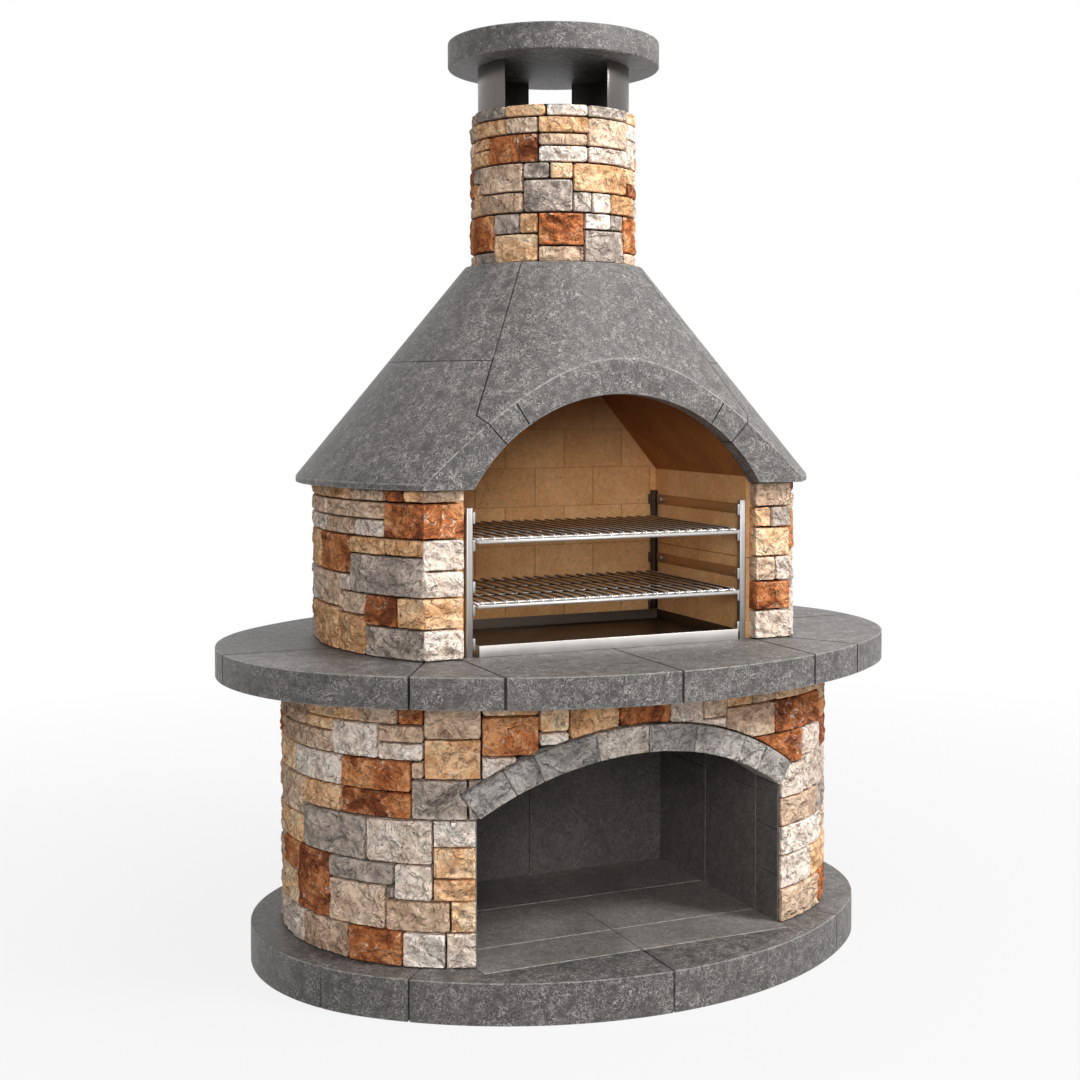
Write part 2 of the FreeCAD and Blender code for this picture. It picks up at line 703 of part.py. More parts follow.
def make_body():
    core_radius = body_side_radius - body_stone_depth
    core_front = body_front_y + pillar_stone_depth
    core_back = body_back_y - body_stone_depth
    right = body_side(core_front, core_back, core_radius)
    edge_right = right.edge(0.0, right.length, 0.0)
    edge_left = mirrored(edge_right)
    front_x = body_corner_x(core_front, core_radius)
    back_x = body_corner_x(core_back, core_radius)
    front = Part.LineSegment(Vector(-front_x, core_front, 0), Vector(front_x, core_front, 0)).toShape()
    back = Part.LineSegment(Vector(-back_x, core_back, 0), Vector(back_x, core_back, 0)).toShape()
    wire = Part.Wire(Part.__sortEdges__([front, edge_right, back, edge_left]))
    core = Part.Face(wire).extrude(Vector(0, 0, body_height))
    core.translate(Vector(0, 0, hearth_z))
    room_x = firebox_half_width + firebrick_thickness
    room = box(-room_x, room_x, -far, firebox_back_y + firebrick_thickness, hearth_z, hood_z)
    pieces = {"body_core": core.cut(room)}

    rng = random.Random(stone_seed + 1)
    corner_front = body_corner_x(body_front_y, body_side_radius)
    corner_back = body_corner_x(body_back_y, body_side_radius)
    right_side = body_side(body_front_y, body_back_y, body_side_radius)
    left_end = math.pi - right_side.start
    left_start = left_end - right_side.length / right_side.radius
    left_side = Arc((-right_side.centre.x, flue_axis_y), right_side.radius, left_start, left_end)
    front_mitre = 1.0 / abs(math.tan(right_side.start))
    back_mitre = 1.0 / math.tan(right_side.start + right_side.length / right_side.radius)
    levels = (hearth_z, hood_z)

    left_front = Line((-corner_front, body_front_y), (-opening_half_width, body_front_y))
    right_front = Line((opening_half_width, body_front_y), (corner_front, body_front_y))
    back_face = Line((corner_back, body_back_y), (-corner_back, body_back_y))
    whole = (BODY_ROW_COUNT,)
    widths = wall_stone_column_counts
    left_pillar_laid = from_far_edge(LEFT_PILLAR_STONES, PILLAR_COLUMN_COUNT)
    left_side_laid = from_far_edge(LEFT_SIDE_STONES, SIDE_COLUMN_COUNT)
    left_pillar = Bond(PILLAR_COLUMN_COUNT, whole, left_pillar_laid, [], rng, widths)
    right_pillar = Bond(PILLAR_COLUMN_COUNT, whole, RIGHT_PILLAR_STONES, [], rng, widths)
    left_wall = Bond(SIDE_COLUMN_COUNT, LEFT_SIDE_COURSES, left_side_laid, [], rng, widths)
    right_wall = Bond(SIDE_COLUMN_COUNT, RIGHT_SIDE_COURSES, [], [], rng, widths)
    back_wall = Bond(BACK_COLUMN_COUNT, BACK_COURSES, [], [], rng, widths)
    left_layer = mitred_face(left_front, pillar_stone_depth, (front_mitre, 0.0))
    right_layer = mitred_face(right_front, pillar_stone_depth, (0.0, front_mitre))
    back_layer = mitred_face(back_face, body_stone_depth, (back_mitre, back_mitre))
    clad("body", [left_front], left_pillar, pillar_stone_depth, levels, within=left_layer)
    clad("body", [right_front], right_pillar, pillar_stone_depth, levels, within=right_layer)
    clad("body", [left_side], left_wall, body_stone_depth, levels)
    clad("body", [right_side], right_wall, body_stone_depth, levels)
    clad("body", [back_face], back_wall, body_stone_depth, levels, within=back_layer)
    return pieces


# Firebrick lining and smoke chamber

def smoke_slope(x):
    """Top end, as X and Z, of a smoke chamber slope that starts at x on the side bricks."""
    inwards = math.tan(math.radians(smoke_panel_lean)) * smoke_chamber_height
    return x - inwards, side_brick_top + smoke_chamber_height


side_brick_top = hood_z + side_brick_rise


def make_lining():
    half = firebrick_joint / 2
    outer_x = firebox_half_width + firebrick_thickness
    brick_front = body_front_y + pillar_stone_depth
    top_x, top_z = smoke_slope(outer_x)
    back_y0 = firebox_back_y
    back_y1 = firebox_back_y + firebrick_thickness
    right_edge = [(outer_x, hearth_z), (outer_x, side_brick_top), (top_x, top_z)]
    left_edge = [(-x, z) for x, z in reversed(right_edge)]
    gable = prism_along_y(right_edge + left_edge, back_y0, back_y1)
    backs = []
    row = 0
    z = hearth_z
    while z < top_z - half:
        z1 = min(z + firebrick_height, top_z)
        x = -outer_x - (firebrick_length / 2 if row % 2 else 0.0)
        while x < outer_x:
            x1 = x + firebrick_length
            brick = box(x + half, x1 - half, back_y0, back_y1, z, z1 - stone_bed)
            backs.extend(brick.common(gable).Solids)
            x = x1
        z = z1
        row += 1

    sides = []
    panels = []
    inner_top_x = smoke_slope(firebox_half_width)[0]
    cavity = hood_cavity(smoke_panel_clearance)
    depth = firebox_back_y - brick_front
    width = depth / side_brick_count
    rise = side_brick_top - hearth_z
    slope_foot = [(firebox_half_width, side_brick_top), (outer_x, side_brick_top)]
    slope = slope_foot + [(top_x, top_z), (inner_top_x, top_z)]
    for index in range(side_brick_count):
        y0 = brick_front + index * width
        y1 = y0 + width - (firebrick_joint if index < side_brick_count - 1 else 0.0)
        low = box(firebox_half_width, outer_x, y0, y1, hearth_z, hearth_z + rise / 2 - firebrick_joint)
        high = box(firebox_half_width, outer_x, y0, y1, hearth_z + rise / 2, side_brick_top)
        sides.extend(both_sides(low) + both_sides(high))
        panel = prism_along_y(slope, y0, y1).common(cavity)
        for solid in panel.Solids:
            panels.extend(both_sides(solid))
    return {
        "firebox_back_bricks": Part.makeCompound(backs),
        "firebox_side_bricks": Part.makeCompound(sides),
        "smoke_chamber_panels": Part.makeCompound(panels),
    }


# Hood

hood_seam_turn = 90.0 if hood_half_depth > hood_half_width else 0.0


def hood_wire(curve, z):
    """Closed curve about the flue axis, with its seam on the longer half axis of the hood."""
    edge = curve.toShape()
    edge.rotate(Vector(0, 0, 0), Vector(0, 0, 1), hood_seam_turn)
    edge.translate(Vector(0, flue_axis_y, z))
    return Part.Wire([edge])


def ellipse_wire(half_width, half_depth, z):
    longer, shorter = max(half_width, half_depth), min(half_width, half_depth)
    return hood_wire(Part.Ellipse(Vector(0, 0, 0), longer, shorter), z)


def circle_wire(radius, z):
    return hood_wire(Part.Circle(Vector(0, 0, 0), Vector(0, 0, 1), radius), z)


def hood_cavity(inset):
    """Hollow of the hood, drawn in by an inset."""
    wall = hood_foot_wall + inset
    foot = ellipse_wire(hood_half_width - wall, hood_half_depth - wall, hood_z)
    top = circle_wire(hood_top_radius - hood_top_wall - inset, chimney_z)
    cone = Part.makeLoft([foot, top], True, True)
    front = hood_front_y + hood_front_wall + inset
    back = hood_back_y - hood_front_wall - inset
    return cone.common(box(-far, far, front, back, hood_z, chimney_z))


def hood_front_zone(gap, bed):
    """Space of the front arch piece: a wedge about the flue axis, seated on the radial joints of the arch."""
    spread = far * math.tan(math.radians(hood_front_seam_angle))
    apex_y = flue_axis_y + gap / math.sin(math.radians(hood_front_seam_angle))
    wedge = prism([(0.0, apex_y), (-spread, apex_y - far), (spread, apex_y - far)], hood_z, chimney_z)
    turn = math.radians(hood_arch_seam_angle)
    apex_z = hood_arch_centre_z - bed / math.cos(turn)
    reach = (far * math.cos(turn), apex_z + far * math.sin(turn))
    above = prism_along_y([(0.0, apex_z), reach, (-reach[0], reach[1])], -far, far)
    return wedge.common(above)


hood_arch_centre_z = hood_z + hood_arch_crown - hood_arch_radius


def make_hood():
    sections = [
        ellipse_wire(hood_half_width, hood_half_depth, hood_z),
        ellipse_wire(hood_half_width, hood_half_depth, hood_eave_z),
        circle_wire(hood_top_radius, chimney_z),
    ]
    shell = Part.makeLoft(sections, True, True)
    shell = shell.common(box(-far, far, hood_front_y, hood_back_y, hood_z, chimney_z))
    shell = shell.cut(hood_cavity(0.0))
    arch_start = Vector(0, hood_front_y - hood_front_wall, hood_arch_centre_z)
    arch = Part.makeCylinder(hood_arch_radius, 3 * hood_front_wall, arch_start, Vector(0, 1, 0))
    shell = shell.cut(arch)
    front = shell.common(hood_front_zone(0.0, 0.0))
    rest = shell.cut(hood_front_zone(hood_joint, hood_bed))
    half = hood_joint / 2
    seam_z = hood_z + hood_seam_height
    left = box(-far, -half, -far, far, hood_z, chimney_z)
    low = box(-far, far, -far, far, hood_z, seam_z - hood_bed)
    high = box(-far, far, -far, far, seam_z, chimney_z)
    left_shell = rest.common(left)
    lower = left_shell.common(low)
    upper = left_shell.common(high)
    return {
        "hood_front": front,
        "hood_lower_left": lower,
        "hood_lower_right": mirrored(lower),
        "hood_upper_left": upper,
        "hood_upper_right": mirrored(upper),
    }


# Chimney

def turned_sector(first, last, radius, z0, z1):
    """Wedge about the flue axis between two angles from the front, positive towards +X."""
    points = [(0.0, flue_axis_y)]
    steps = 4
    for index in range(steps + 1):
        turn = math.radians(first + (last - first) * index / steps)
        points.append((2 * radius * math.sin(turn), flue_axis_y - 2 * radius * math.cos(turn)))
    return prism(points, z0, z1)


def make_chimney():
    core_radius = chimney_radius - chimney_stone_depth
    ring = cylinder(core_radius, chimney_z, support_z, flue_axis_y)
    ring = ring.cut(cylinder(flue_radius, chimney_z, support_z, flue_axis_y))
    quarter = math.pi / 2
    axis = (0, flue_axis_y)
    outline = [Arc(axis, chimney_radius, k * quarter, (k + 1) * quarter) for k in range(1, 5)]
    rng = random.Random(stone_seed + 2)
    laid = from_front_middle(CHIMNEY_STONES, CHIMNEY_COLUMN_COUNT)
    widths = chimney_stone_column_counts
    bond = Bond(CHIMNEY_COLUMN_COUNT, CHIMNEY_COURSES, laid, [], rng, widths, closed=True)
    clad("chimney", outline, bond, chimney_stone_depth, (chimney_z, support_z))

    radius = core_radius - support_inset
    sheet = cylinder(radius, support_z, cap_z, flue_axis_y)
    sheet = sheet.cut(cylinder(radius - support_sheet, support_z, cap_z, flue_axis_y))
    front_left = support_front_window_turn - support_front_window / 2
    front_right = support_front_window_turn + support_front_window / 2
    back_right = support_back_window_turn - support_back_window / 2
    back_left = support_back_window_turn + support_back_window / 2 - full_turn
    right = sheet.common(turned_sector(front_right, back_right, radius, support_z, cap_z))
    left = sheet.common(turned_sector(back_left, front_left, radius, support_z, cap_z))
    cap = cylinder(cap_radius, cap_z, cap_z + cap_thickness, flue_axis_y)
    rims = [e for e in cap.Edges if isinstance(e.Curve, Part.Circle)]
    cap = cap.makeFillet(cap_edge_round, rims).Solids[0]
    return {
        "flue_ring": ring,
        "cap_supports": Part.makeCompound(right.Solids + left.Solids),
        "chimney_cap": cap,
    }


# Grill rack

rack_x = firebox_half_width - upright_wall_gap - upright_width
rack_front_y = body_front_y + upright_set_back
rack_back_y = rack_front_y + rack_depth


def upright(y, open_side):
    """Channel upright on the right, with its open side along Y."""
    x1 = rack_x + upright_width
    top = hearth_z + upright_height
    outer = box(rack_x, x1, y, y + upright_depth, hearth_z, top)
    closed_y = y if open_side > 0 else y + upright_depth
    tall = [e for e in outer.Edges if e.BoundBox.ZLength > upright_height / 2]
    outer = outer.makeFillet(upright_corner, [e for e in tall if abs(e.BoundBox.YMin - closed_y) < tiny])
    y0 = y + upright_sheet if open_side > 0 else y
    y1 = y + upright_depth if open_side > 0 else y + upright_depth - upright_sheet
    return outer.cut(box(rack_x + upright_sheet, x1 - upright_sheet, y0, y1, hearth_z, top))


def clip(level, y):
    """Folded clip on the inner face of an upright."""
    z0 = hearth_z + level - clip_height / 2
    return box(rack_x - clip_reach, rack_x, y, y + clip_depth, z0, z0 + clip_height)


def lug(grid_level, y, way):
    """Lug on the inner face of a clip, just under the side bar of the grid that it carries."""
    top = hearth_z + grid_level + (grid_bar_diameter - grid_rod_diameter) / 2 - slide_clearance
    near = y if way > 0 else y + clip_depth - lug_reach
    x1 = rack_x - clip_reach
    return box(x1 - lug_length, x1, near, near + lug_reach, top - lug_thickness, top)


def make_rack():
    fronts = both_sides(upright(rack_front_y, 1))
    backs = both_sides(upright(rack_back_y - upright_depth, -1))
    rail_y0 = rack_front_y + upright_depth
    rail_y1 = rack_back_y - upright_depth
    rail_x = rack_x + upright_width - rail_thickness
    rails = []
    bolts = []
    for level in rail_levels:
        z0 = hearth_z + level - rail_height / 2
        rails.extend(both_sides(box(rail_x, rail_x + rail_thickness, rail_y0, rail_y1, z0, z0 + rail_height)))
        for y in (rail_y0 + bolt_inset, rail_y1 - bolt_inset):
            seat = Vector(rail_x, y, hearth_z + level)
            head = Part.makeCylinder(bolt_head_radius, bolt_head_height, seat, Vector(-1, 0, 0))
            rim = [e for e in head.Edges if abs(e.BoundBox.XMin - rail_x + bolt_head_height) < tiny]
            head = head.makeFillet(bolt_head_height / 2, rim[:1])
            bolts.extend(both_sides(head))
    front_y = rack_front_y + (upright_depth - clip_depth) / 2
    back_y = rack_back_y - (upright_depth + clip_depth) / 2
    clips = []
    lugs = []
    for level in clip_levels:
        carried = [g for g in grid_levels if abs(level - g) <= clip_height / 2]
        for y, way in ((front_y, 1), (back_y, -1)):
            clips.extend(both_sides(clip(level, y)))
            for grid_level in carried:
                lugs.extend(both_sides(lug(grid_level, y, way)))
    return {
        "rack_uprights": Part.makeCompound(fronts + backs),
        "rack_rails": Part.makeCompound(rails),
        "rack_clips": Part.makeCompound(clips),
        "rack_lugs": Part.makeCompound(lugs),
        "rack_bolts": Part.makeCompound(bolts),
    }


grid_half_width = rack_x - grid_side_gap
grid_front_y = rack_front_y - grid_front_reach
grid_back_y = rack_back_y - upright_depth - grid_rear_gap


def rod_along_x(diameter, half_length, y, z):
    return Part.makeCylinder(diameter / 2, 2 * half_length, Vector(-half_length, y, z), Vector(1, 0, 0))


def grid_wire(x, y0, y1, z, drop):
    """Wire that runs to the back and bends down on the front bar."""
    bend = grid_wire_diameter
    knee = y0 + bend
    turn = math.sqrt(0.5) * bend
    down = Part.LineSegment(Vector(x, y0, z - drop), Vector(x, y0, z - bend)).toShape()
    midway = Vector(x, knee - turn, z - bend + turn)
    arc = Part.Arc(Vector(x, y0, z - bend), midway, Vector(x, knee, z)).toShape()
    run = Part.LineSegment(Vector(x, knee, z), Vector(x, y1, z)).toShape()
    path = Part.Wire([down, arc, run])
    circle = Part.Circle(Vector(x, y0, z - drop), Vector(0, 0, 1), grid_wire_diameter / 2)
    return path.makePipeShell([Part.Wire([circle.toShape()])], True, False)


def make_grid(level):
    """Welded grid: a thick front bar, side bars and rods, with the wires on top."""
    z = hearth_z + level
    front = rod_along_x(grid_bar_diameter, grid_half_width, grid_front_y + grid_bar_diameter / 2, z)
    rod_z = z + grid_bar_diameter / 2
    first_y = grid_front_y + grid_bar_diameter + grid_tip_length
    last_y = grid_back_y - grid_rod_diameter / 2
    solids = [front]
    for index in range(grid_inner_rod_count + 2):
        y = first_y + (last_y - first_y) * index / (grid_inner_rod_count + 1)
        solids.append(rod_along_x(grid_rod_diameter, grid_half_width - grid_rod_diameter, y, rod_z))
    side_x = grid_half_width - grid_rod_diameter / 2
    side_y = grid_front_y + grid_bar_diameter
    for x in (-side_x, side_x):
        start = Vector(x, side_y, rod_z)
        solids.append(Part.makeCylinder(grid_rod_diameter / 2, grid_back_y - side_y, start, Vector(0, 1, 0)))
    wire_z = rod_z + (grid_rod_diameter + grid_wire_diameter) / 2
    wire_y = grid_front_y + grid_bar_diameter / 2
    drop = wire_z - z - grid_bar_diameter / 2
    spread = grid_half_width - grid_rod_diameter - grid_wire_diameter
    for index in range(grid_wire_count):
        x = -spread + 2 * spread * index / (grid_wire_count - 1)
        solids.append(grid_wire(x, wire_y, grid_back_y, wire_z, drop))
    return Part.makeCompound(solids)


def make_tray():
    y0 = rack_front_y - tray_front_reach
    z0 = hearth_z + slide_clearance
    outer = box(-tray_half_width, tray_half_width, y0, y0 + tray_depth, z0, z0 + tray_height)
    inner_x = tray_half_width - tray_sheet
    inner_y0 = y0 + tray_sheet
    inner_y1 = y0 + tray_depth - tray_sheet
    return outer.cut(box(-inner_x, inner_x, inner_y0, inner_y1, z0 + tray_sheet, z0 + tray_height))


def main():
    makers = [make_base, make_lower_wall, make_worktop, make_body]
    makers += [make_lining, make_hood, make_chimney, make_rack]
    pieces = {}
    for maker in makers:
        pieces.update(maker())
    for name, solids in stones.items():
        pieces[name] = Part.makeCompound(solids)
    pieces["upper_grid"] = make_grid(grid_levels[0])
    pieces["lower_grid"] = make_grid(grid_levels[1])
    pieces["ash_tray"] = make_tray()
    os.makedirs("parts", exist_ok=True)
    for name in sorted(pieces):
        shape = pieces[name]
        litres = shape.Volume / 1e6
        print(f"{name}: {len(shape.Solids)} solids, valid {shape.isValid()}, {litres:.3f} litres")
        shape.exportStep(f"parts/{name}.step")
    print(f"{len(pieces)} nodes")


main()
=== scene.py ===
"""Looks of a masonry barbecue: split-face cladding, flamed slabs, fire clay lining and stainless fittings."""

import logging
import math
import random
from dataclasses import dataclass, field
from enum import Enum
from typing import Any

import bmesh
import bpy
import numpy as np
from bmesh.types import BMEdge, BMesh, BMFace, BMLoop, BMVert
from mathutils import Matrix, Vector, noise
from mathutils.bvhtree import BVHTree


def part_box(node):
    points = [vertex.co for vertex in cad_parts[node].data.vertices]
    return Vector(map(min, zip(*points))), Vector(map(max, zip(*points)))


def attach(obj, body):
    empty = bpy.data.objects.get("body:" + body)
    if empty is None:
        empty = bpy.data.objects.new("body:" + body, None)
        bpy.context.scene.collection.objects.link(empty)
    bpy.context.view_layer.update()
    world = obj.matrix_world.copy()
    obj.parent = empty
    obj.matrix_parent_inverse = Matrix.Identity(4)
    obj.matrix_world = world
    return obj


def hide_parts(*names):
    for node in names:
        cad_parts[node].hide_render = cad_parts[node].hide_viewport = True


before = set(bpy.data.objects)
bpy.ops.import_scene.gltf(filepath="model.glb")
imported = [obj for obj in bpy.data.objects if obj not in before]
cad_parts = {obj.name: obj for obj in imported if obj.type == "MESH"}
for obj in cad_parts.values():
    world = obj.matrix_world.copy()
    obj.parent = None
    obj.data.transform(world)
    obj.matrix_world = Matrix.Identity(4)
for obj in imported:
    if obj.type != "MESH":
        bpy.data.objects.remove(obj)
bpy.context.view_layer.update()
LOG = logging.getLogger("barbecue")

Colour = tuple[int, int, int]
Triple = tuple[float, float, float]
Socket = bpy.types.NodeSocket
Material = bpy.types.Material

UP = Vector((0.0, 0.0, 1.0))
MERGE = 1e-5
TINY = 1e-6
JOINT_BEVEL = 0.0015
JOINT_REACH = 0.005
JOINT_INSET = 0.003
JOINT_LIFT = 1e-4


class Body(Enum):
    """Rigid bodies that the pieces ride on."""

    MASONRY = "masonry"
    UPPER_GRID = "upper_grid_body"
    LOWER_GRID = "lower_grid_body"
    ASH_TRAY = "ash_tray_body"


def linear(colour: Colour) -> tuple[float, float, float, float]:
    """Turn a screen colour into the linear values that shaders use.

    Args:
        colour: Red, green and blue from 0 to 255.

    Returns:
        Linear red, green, blue and an alpha of one.
    """
    shares = [value / 255.0 for value in colour]
    values = [s / 12.92 if s <= 0.04045 else ((s + 0.055) / 1.055) ** 2.4 for s in shares]
    return values[0], values[1], values[2], 1.0


class NodeKit:
    """Node tree that is put together step by step."""

    def __init__(self, tree: bpy.types.NodeTree) -> None:
        """Keep the tree to add to."""
        self.tree = tree

    def add(self, kind: str, inputs: dict[Any, Any] | None = None, **settings: Any) -> bpy.types.Node:
        """Add a node with its settings and inputs.

        Args:
            kind: Type of the node.
            inputs: Values or sockets for its inputs, by name or index.
            settings: Properties of the node itself.

        Returns:
            The new node.
        """
        node = self.tree.nodes.new(kind)
        for key, value in settings.items():
            setattr(node, key, value)
        for key, value in (inputs or {}).items():
            self.feed(node.inputs[key], value)
        return node

    def feed(self, target: Socket, value: Any) -> None:
        """Link a socket to an input, or set the input's own value.

        Args:
            target: Input to feed.
            value: Socket or plain value.
        """
        if isinstance(value, bpy.types.NodeSocket):
            self.tree.links.new(value, target)
        else:
            target.default_value = value

    def math(self, operation: str, first: Any, second: Any = 0.0) -> Socket:
        """Combine two values."""
        return self.add("ShaderNodeMath", {0: first, 1: second}, operation=operation).outputs[0]

    def times(self, first: Any, second: Any) -> Socket:
        """Multiply two values."""
        return self.math("MULTIPLY", first, second)

    def shown(self) -> Socket:
        """Tell camera, glossy and transmission rays, which show the background, from those that light."""
        ray = self.add("ShaderNodeLightPath").outputs
        return self.math("MAXIMUM", ray["Is Camera Ray"],
                         self.math("MAXIMUM", ray["Is Glossy Ray"], ray["Is Transmission Ray"]))

    def blend(self, output: str, share: Socket, first: Socket, second: Socket) -> None:
        """Lead a blend of two shaders to a new output node."""
        mixed = self.add("ShaderNodeMixShader", {0: share, 1: first, 2: second}).outputs[0]
        self.add(output, {"Surface": mixed})


class Recipe(NodeKit):
    """Node tree of one procedural material, with a colour that is painted and shaded step by step."""

    def __init__(self, name: str, ground: Colour) -> None:
        """Start a material.

        Args:
            name: Name of the material.
            ground: Colour that the others are laid over.
        """
        self.material = bpy.data.materials.new(name)
        self.material.use_nodes = True
        super().__init__(self.material.node_tree)
        self.shader = next(n for n in self.tree.nodes if n.type == "BSDF_PRINCIPLED")
        self.coordinates = self.add("ShaderNodeTexCoord").outputs["Object"]
        self.colour: Any = linear(ground)

    def vector(self, operation: str, first: Any, second: Any) -> Socket:
        """Combine two vectors."""
        return self.add("ShaderNodeVectorMath", {0: first, 1: second}, operation=operation).outputs[0]

    def along(self, axis: str, vector: Socket | None = None) -> Socket:
        """Take one part of a vector, of the coordinates by default."""
        return self.add("ShaderNodeSeparateXYZ", {0: vector or self.coordinates}).outputs[axis]

    def attribute(self, name: str, output: str = "Fac") -> Socket:
        """Read an attribute of the mesh."""
        return self.add("ShaderNodeAttribute", attribute_name=name).outputs[output]

    def grain(self, scale: float, detail: float = 3.0, rough: float = 0.55, swirl: float = 0.0,
              vector: Socket | None = None) -> Socket:
        """Add a noise with so many features along a metre and values around a half."""
        place = {"Vector": vector or self.coordinates, "Scale": scale, "Distortion": swirl}
        return self.add("ShaderNodeTexNoise", place | {"Detail": detail, "Roughness": rough}).outputs[0]

    def span(self, value: Socket, low: float, high: float, to_low: float = 0.0, to_high: float = 1.0) -> Socket:
        """Map values between two limits smoothly to another range."""
        inputs = {"Value": value, "From Min": low, "From Max": high, "To Min": to_low, "To Max": to_high}
        return self.add("ShaderNodeMapRange", inputs, interpolation_type="SMOOTHSTEP").outputs["Result"]

    def mix(self, share: Any, other: Any, blend: str) -> None:
        """Mix another colour into the present one."""
        inputs = {0: share, 6: self.colour, 7: other}
        self.colour = self.add("ShaderNodeMix", inputs, data_type="RGBA", blend_type=blend).outputs[2]

    def paint(self, colour: Colour, share: Socket) -> None:
        """Lay a colour over the present one, as far as its share goes."""
        self.mix(share, linear(colour), "MIX")

    def shade(self, value: Socket, *limits: float) -> None:
        """Darken and lighten the present colour by a pattern, with limits as span takes them."""
        channels = dict.fromkeys(range(3), self.span(value, *limits))
        self.mix(1.0, self.add("ShaderNodeCombineColor", channels).outputs[0], "MULTIPLY")

    def worms(self, scale: float, width: float, vector: Socket | None = None) -> Socket:
        """Draw thin wandering lines with so many bends along a metre, as veins and flecks are."""
        swirl = self.grain(scale, 2.0, 0.5, 1.1, vector)
        return self.span(self.math("ABSOLUTE", self.math("SUBTRACT", swirl, 0.5)), 0.0, width, 1.0, 0.0)

    def flecks(self, scale: float, width: float, cover: Socket, low: float, high: float) -> Socket:
        """Draw thin wandering lines that show only where a cover pattern lets them."""
        return self.times(self.worms(scale, width), self.span(cover, low, high))

    def facets(self, scale: float, vector: Socket) -> Socket:
        """Draw shallow hollows that meet in ridges, bent by a noise.

        Args:
            scale: Number of hollows along a metre.
            vector: Coordinates to read.

        Returns:
            Socket that rises from the hollows to the ridges.
        """
        inputs = {"Vector": vector, "Scale": scale * 0.8, "Detail": 3.0}
        wander = self.add("ShaderNodeTexNoise", inputs).outputs["Color"]
        bent = self.vector("ADD", vector, self.vector("MULTIPLY", wander, (1.1 / scale,) * 3))
        return self.add("ShaderNodeTexVoronoi", {"Vector": bent, "Scale": scale}).outputs["Distance"]

    def ledges(self, scale: float, steps: float, vector: Socket) -> Socket:
        """Draw so many flat terraces with short, steep risers between them, along a noise."""
        level = self.times(self.grain(scale, 5.0, 0.58, 0.7, vector), steps)
        return self.math("ADD", self.math("FLOOR", level), self.span(self.math("FRACT", level), 0.58, 1.0))

    def relief(self, *layers: tuple[Socket, float, float]) -> Socket:
        """Turn height patterns into surface relief, each on the one before.

        Args:
            layers: Pattern, depth in metres and share that shows, from coarse to fine.

        Returns:
            Socket with the surface normal.
        """
        below: dict[str, Socket] = {}
        for height, distance, strength in layers:
            inputs = {"Height": height, "Distance": distance, "Strength": strength, **below}
            below = {"Normal": self.add("ShaderNodeBump", inputs).outputs["Normal"]}
        return below["Normal"]

    def surface(self, **values: Any) -> Material:
        """Set the shader's colour and its other inputs.

        Args:
            values: Sockets or plain values by input, with underscores for spaces.

        Returns:
            The finished material.
        """
        for key, value in {"Base_Color": self.colour, **values}.items():
            self.feed(self.shader.inputs[key.replace("_", " ")], value)
        return self.material


@dataclass(frozen=True)
class SplitFace:
    """Finish of a split stone with patches, veins, ledges and chips, with painted light and shade on its relief.
    """

    slot: str
    dark: Colour
    middle: Colour
    light: Colour
    vein: Colour
    vein_share: float
    spread: Triple = (9.0, 9.0, 9.0)
    patch_scale: float = 13.0
    vein_scale: float = 13.0
    facet_scale: float = 58.0
    ledge: tuple[float, float] = (11.0, 6.0)
    small_ledge: tuple[float, float] = (32.0, 5.0)
    chip_scale: float = 140.0
    # How far up the ledges are read again for their painted light and shade.
    painted_light_reach: Triple = (0.0005, -0.0005, 0.0024)

    def material(self) -> Material:
        """Build the stone's material.

        Returns:
            Material for one kind of stone.
        """
        kit = Recipe(self.slot + "_split_face", self.dark)
        own = kit.attribute("stone", "Vector")
        place = kit.vector("ADD", kit.coordinates, kit.vector("MULTIPLY", own, self.spread))
        self.paint_patches(kit, own, place)
        facets, chips = kit.facets(self.facet_scale, place), kit.facets(self.chip_scale, place)
        # Painted light: the facets are painted darker in their dips and lighter on their ridges.
        kit.shade(facets, 0.15, 0.80, 0.92, 1.14)
        # Painted light: the ledges are read again a little higher up; where they rise going up, the colour is
        # painted darker as the shade under a ledge, and where they fall it is painted lighter as a highlight on
        # its top.
        above = kit.vector("ADD", place, self.painted_light_reach)
        broad, small = kit.ledges(*self.ledge, place), kit.ledges(*self.small_ledge, place)
        lean = kit.math("SUBTRACT", broad, kit.ledges(*self.ledge, above))
        fine_lean = kit.math("SUBTRACT", small, kit.ledges(*self.small_ledge, above))
        kit.shade(kit.math("ADD", lean, kit.times(fine_lean, 0.7)), -0.5, 1.0, 0.74, 1.44)
        sand = kit.grain(260.0, 5.0, 0.65, 0.6, place)
        relief = kit.relief((facets, 0.0060, 0.8), (broad, 0.0060, 1.0), (small, 0.0032, 1.0),
                            (chips, 0.0026, 0.7), (sand, 0.0014, 0.7))
        return kit.surface(Roughness=0.88, Normal=relief, Specular_IOR_Level=0.25)

    def paint_patches(self, kit: Recipe, own: Socket, place: Socket) -> None:
        """Colour the stone with patches, broken veins and speckle, then paint shade into its dips and joints and
        light on its ridges and arrises.

        Args:
            kit: Material to add to.
            own: Three numbers of the stone's own.
            place: Coordinates that differ from stone to stone.
        """
        patches = kit.grain(self.patch_scale, 5.0, 0.62, 0.9, place)
        patches = kit.math("ADD", patches, kit.span(kit.along("X", own), 0.0, 1.0, -0.07, 0.07))
        kit.paint(self.middle, kit.span(patches, 0.36, 0.50))
        kit.paint(self.light, kit.span(patches, 0.50, 0.66))
        veins = kit.times(kit.worms(self.vein_scale, 0.018, place), self.vein_share)
        broken = kit.span(kit.grain(30.0, 3.0, 0.6, 0.0, place), 0.42, 0.60)
        kit.paint(self.vein, kit.times(veins, broken))
        kit.shade(kit.grain(210.0, 4.0, 0.7, 0.3, place), 0.3, 0.7, 0.84, 1.14)
        # Painted shade in the dips and joints, painted light on the ridges and along the arrises.
        kit.shade(kit.attribute("painted_shading"), 0.05, 0.95, 1.14, 0.92)


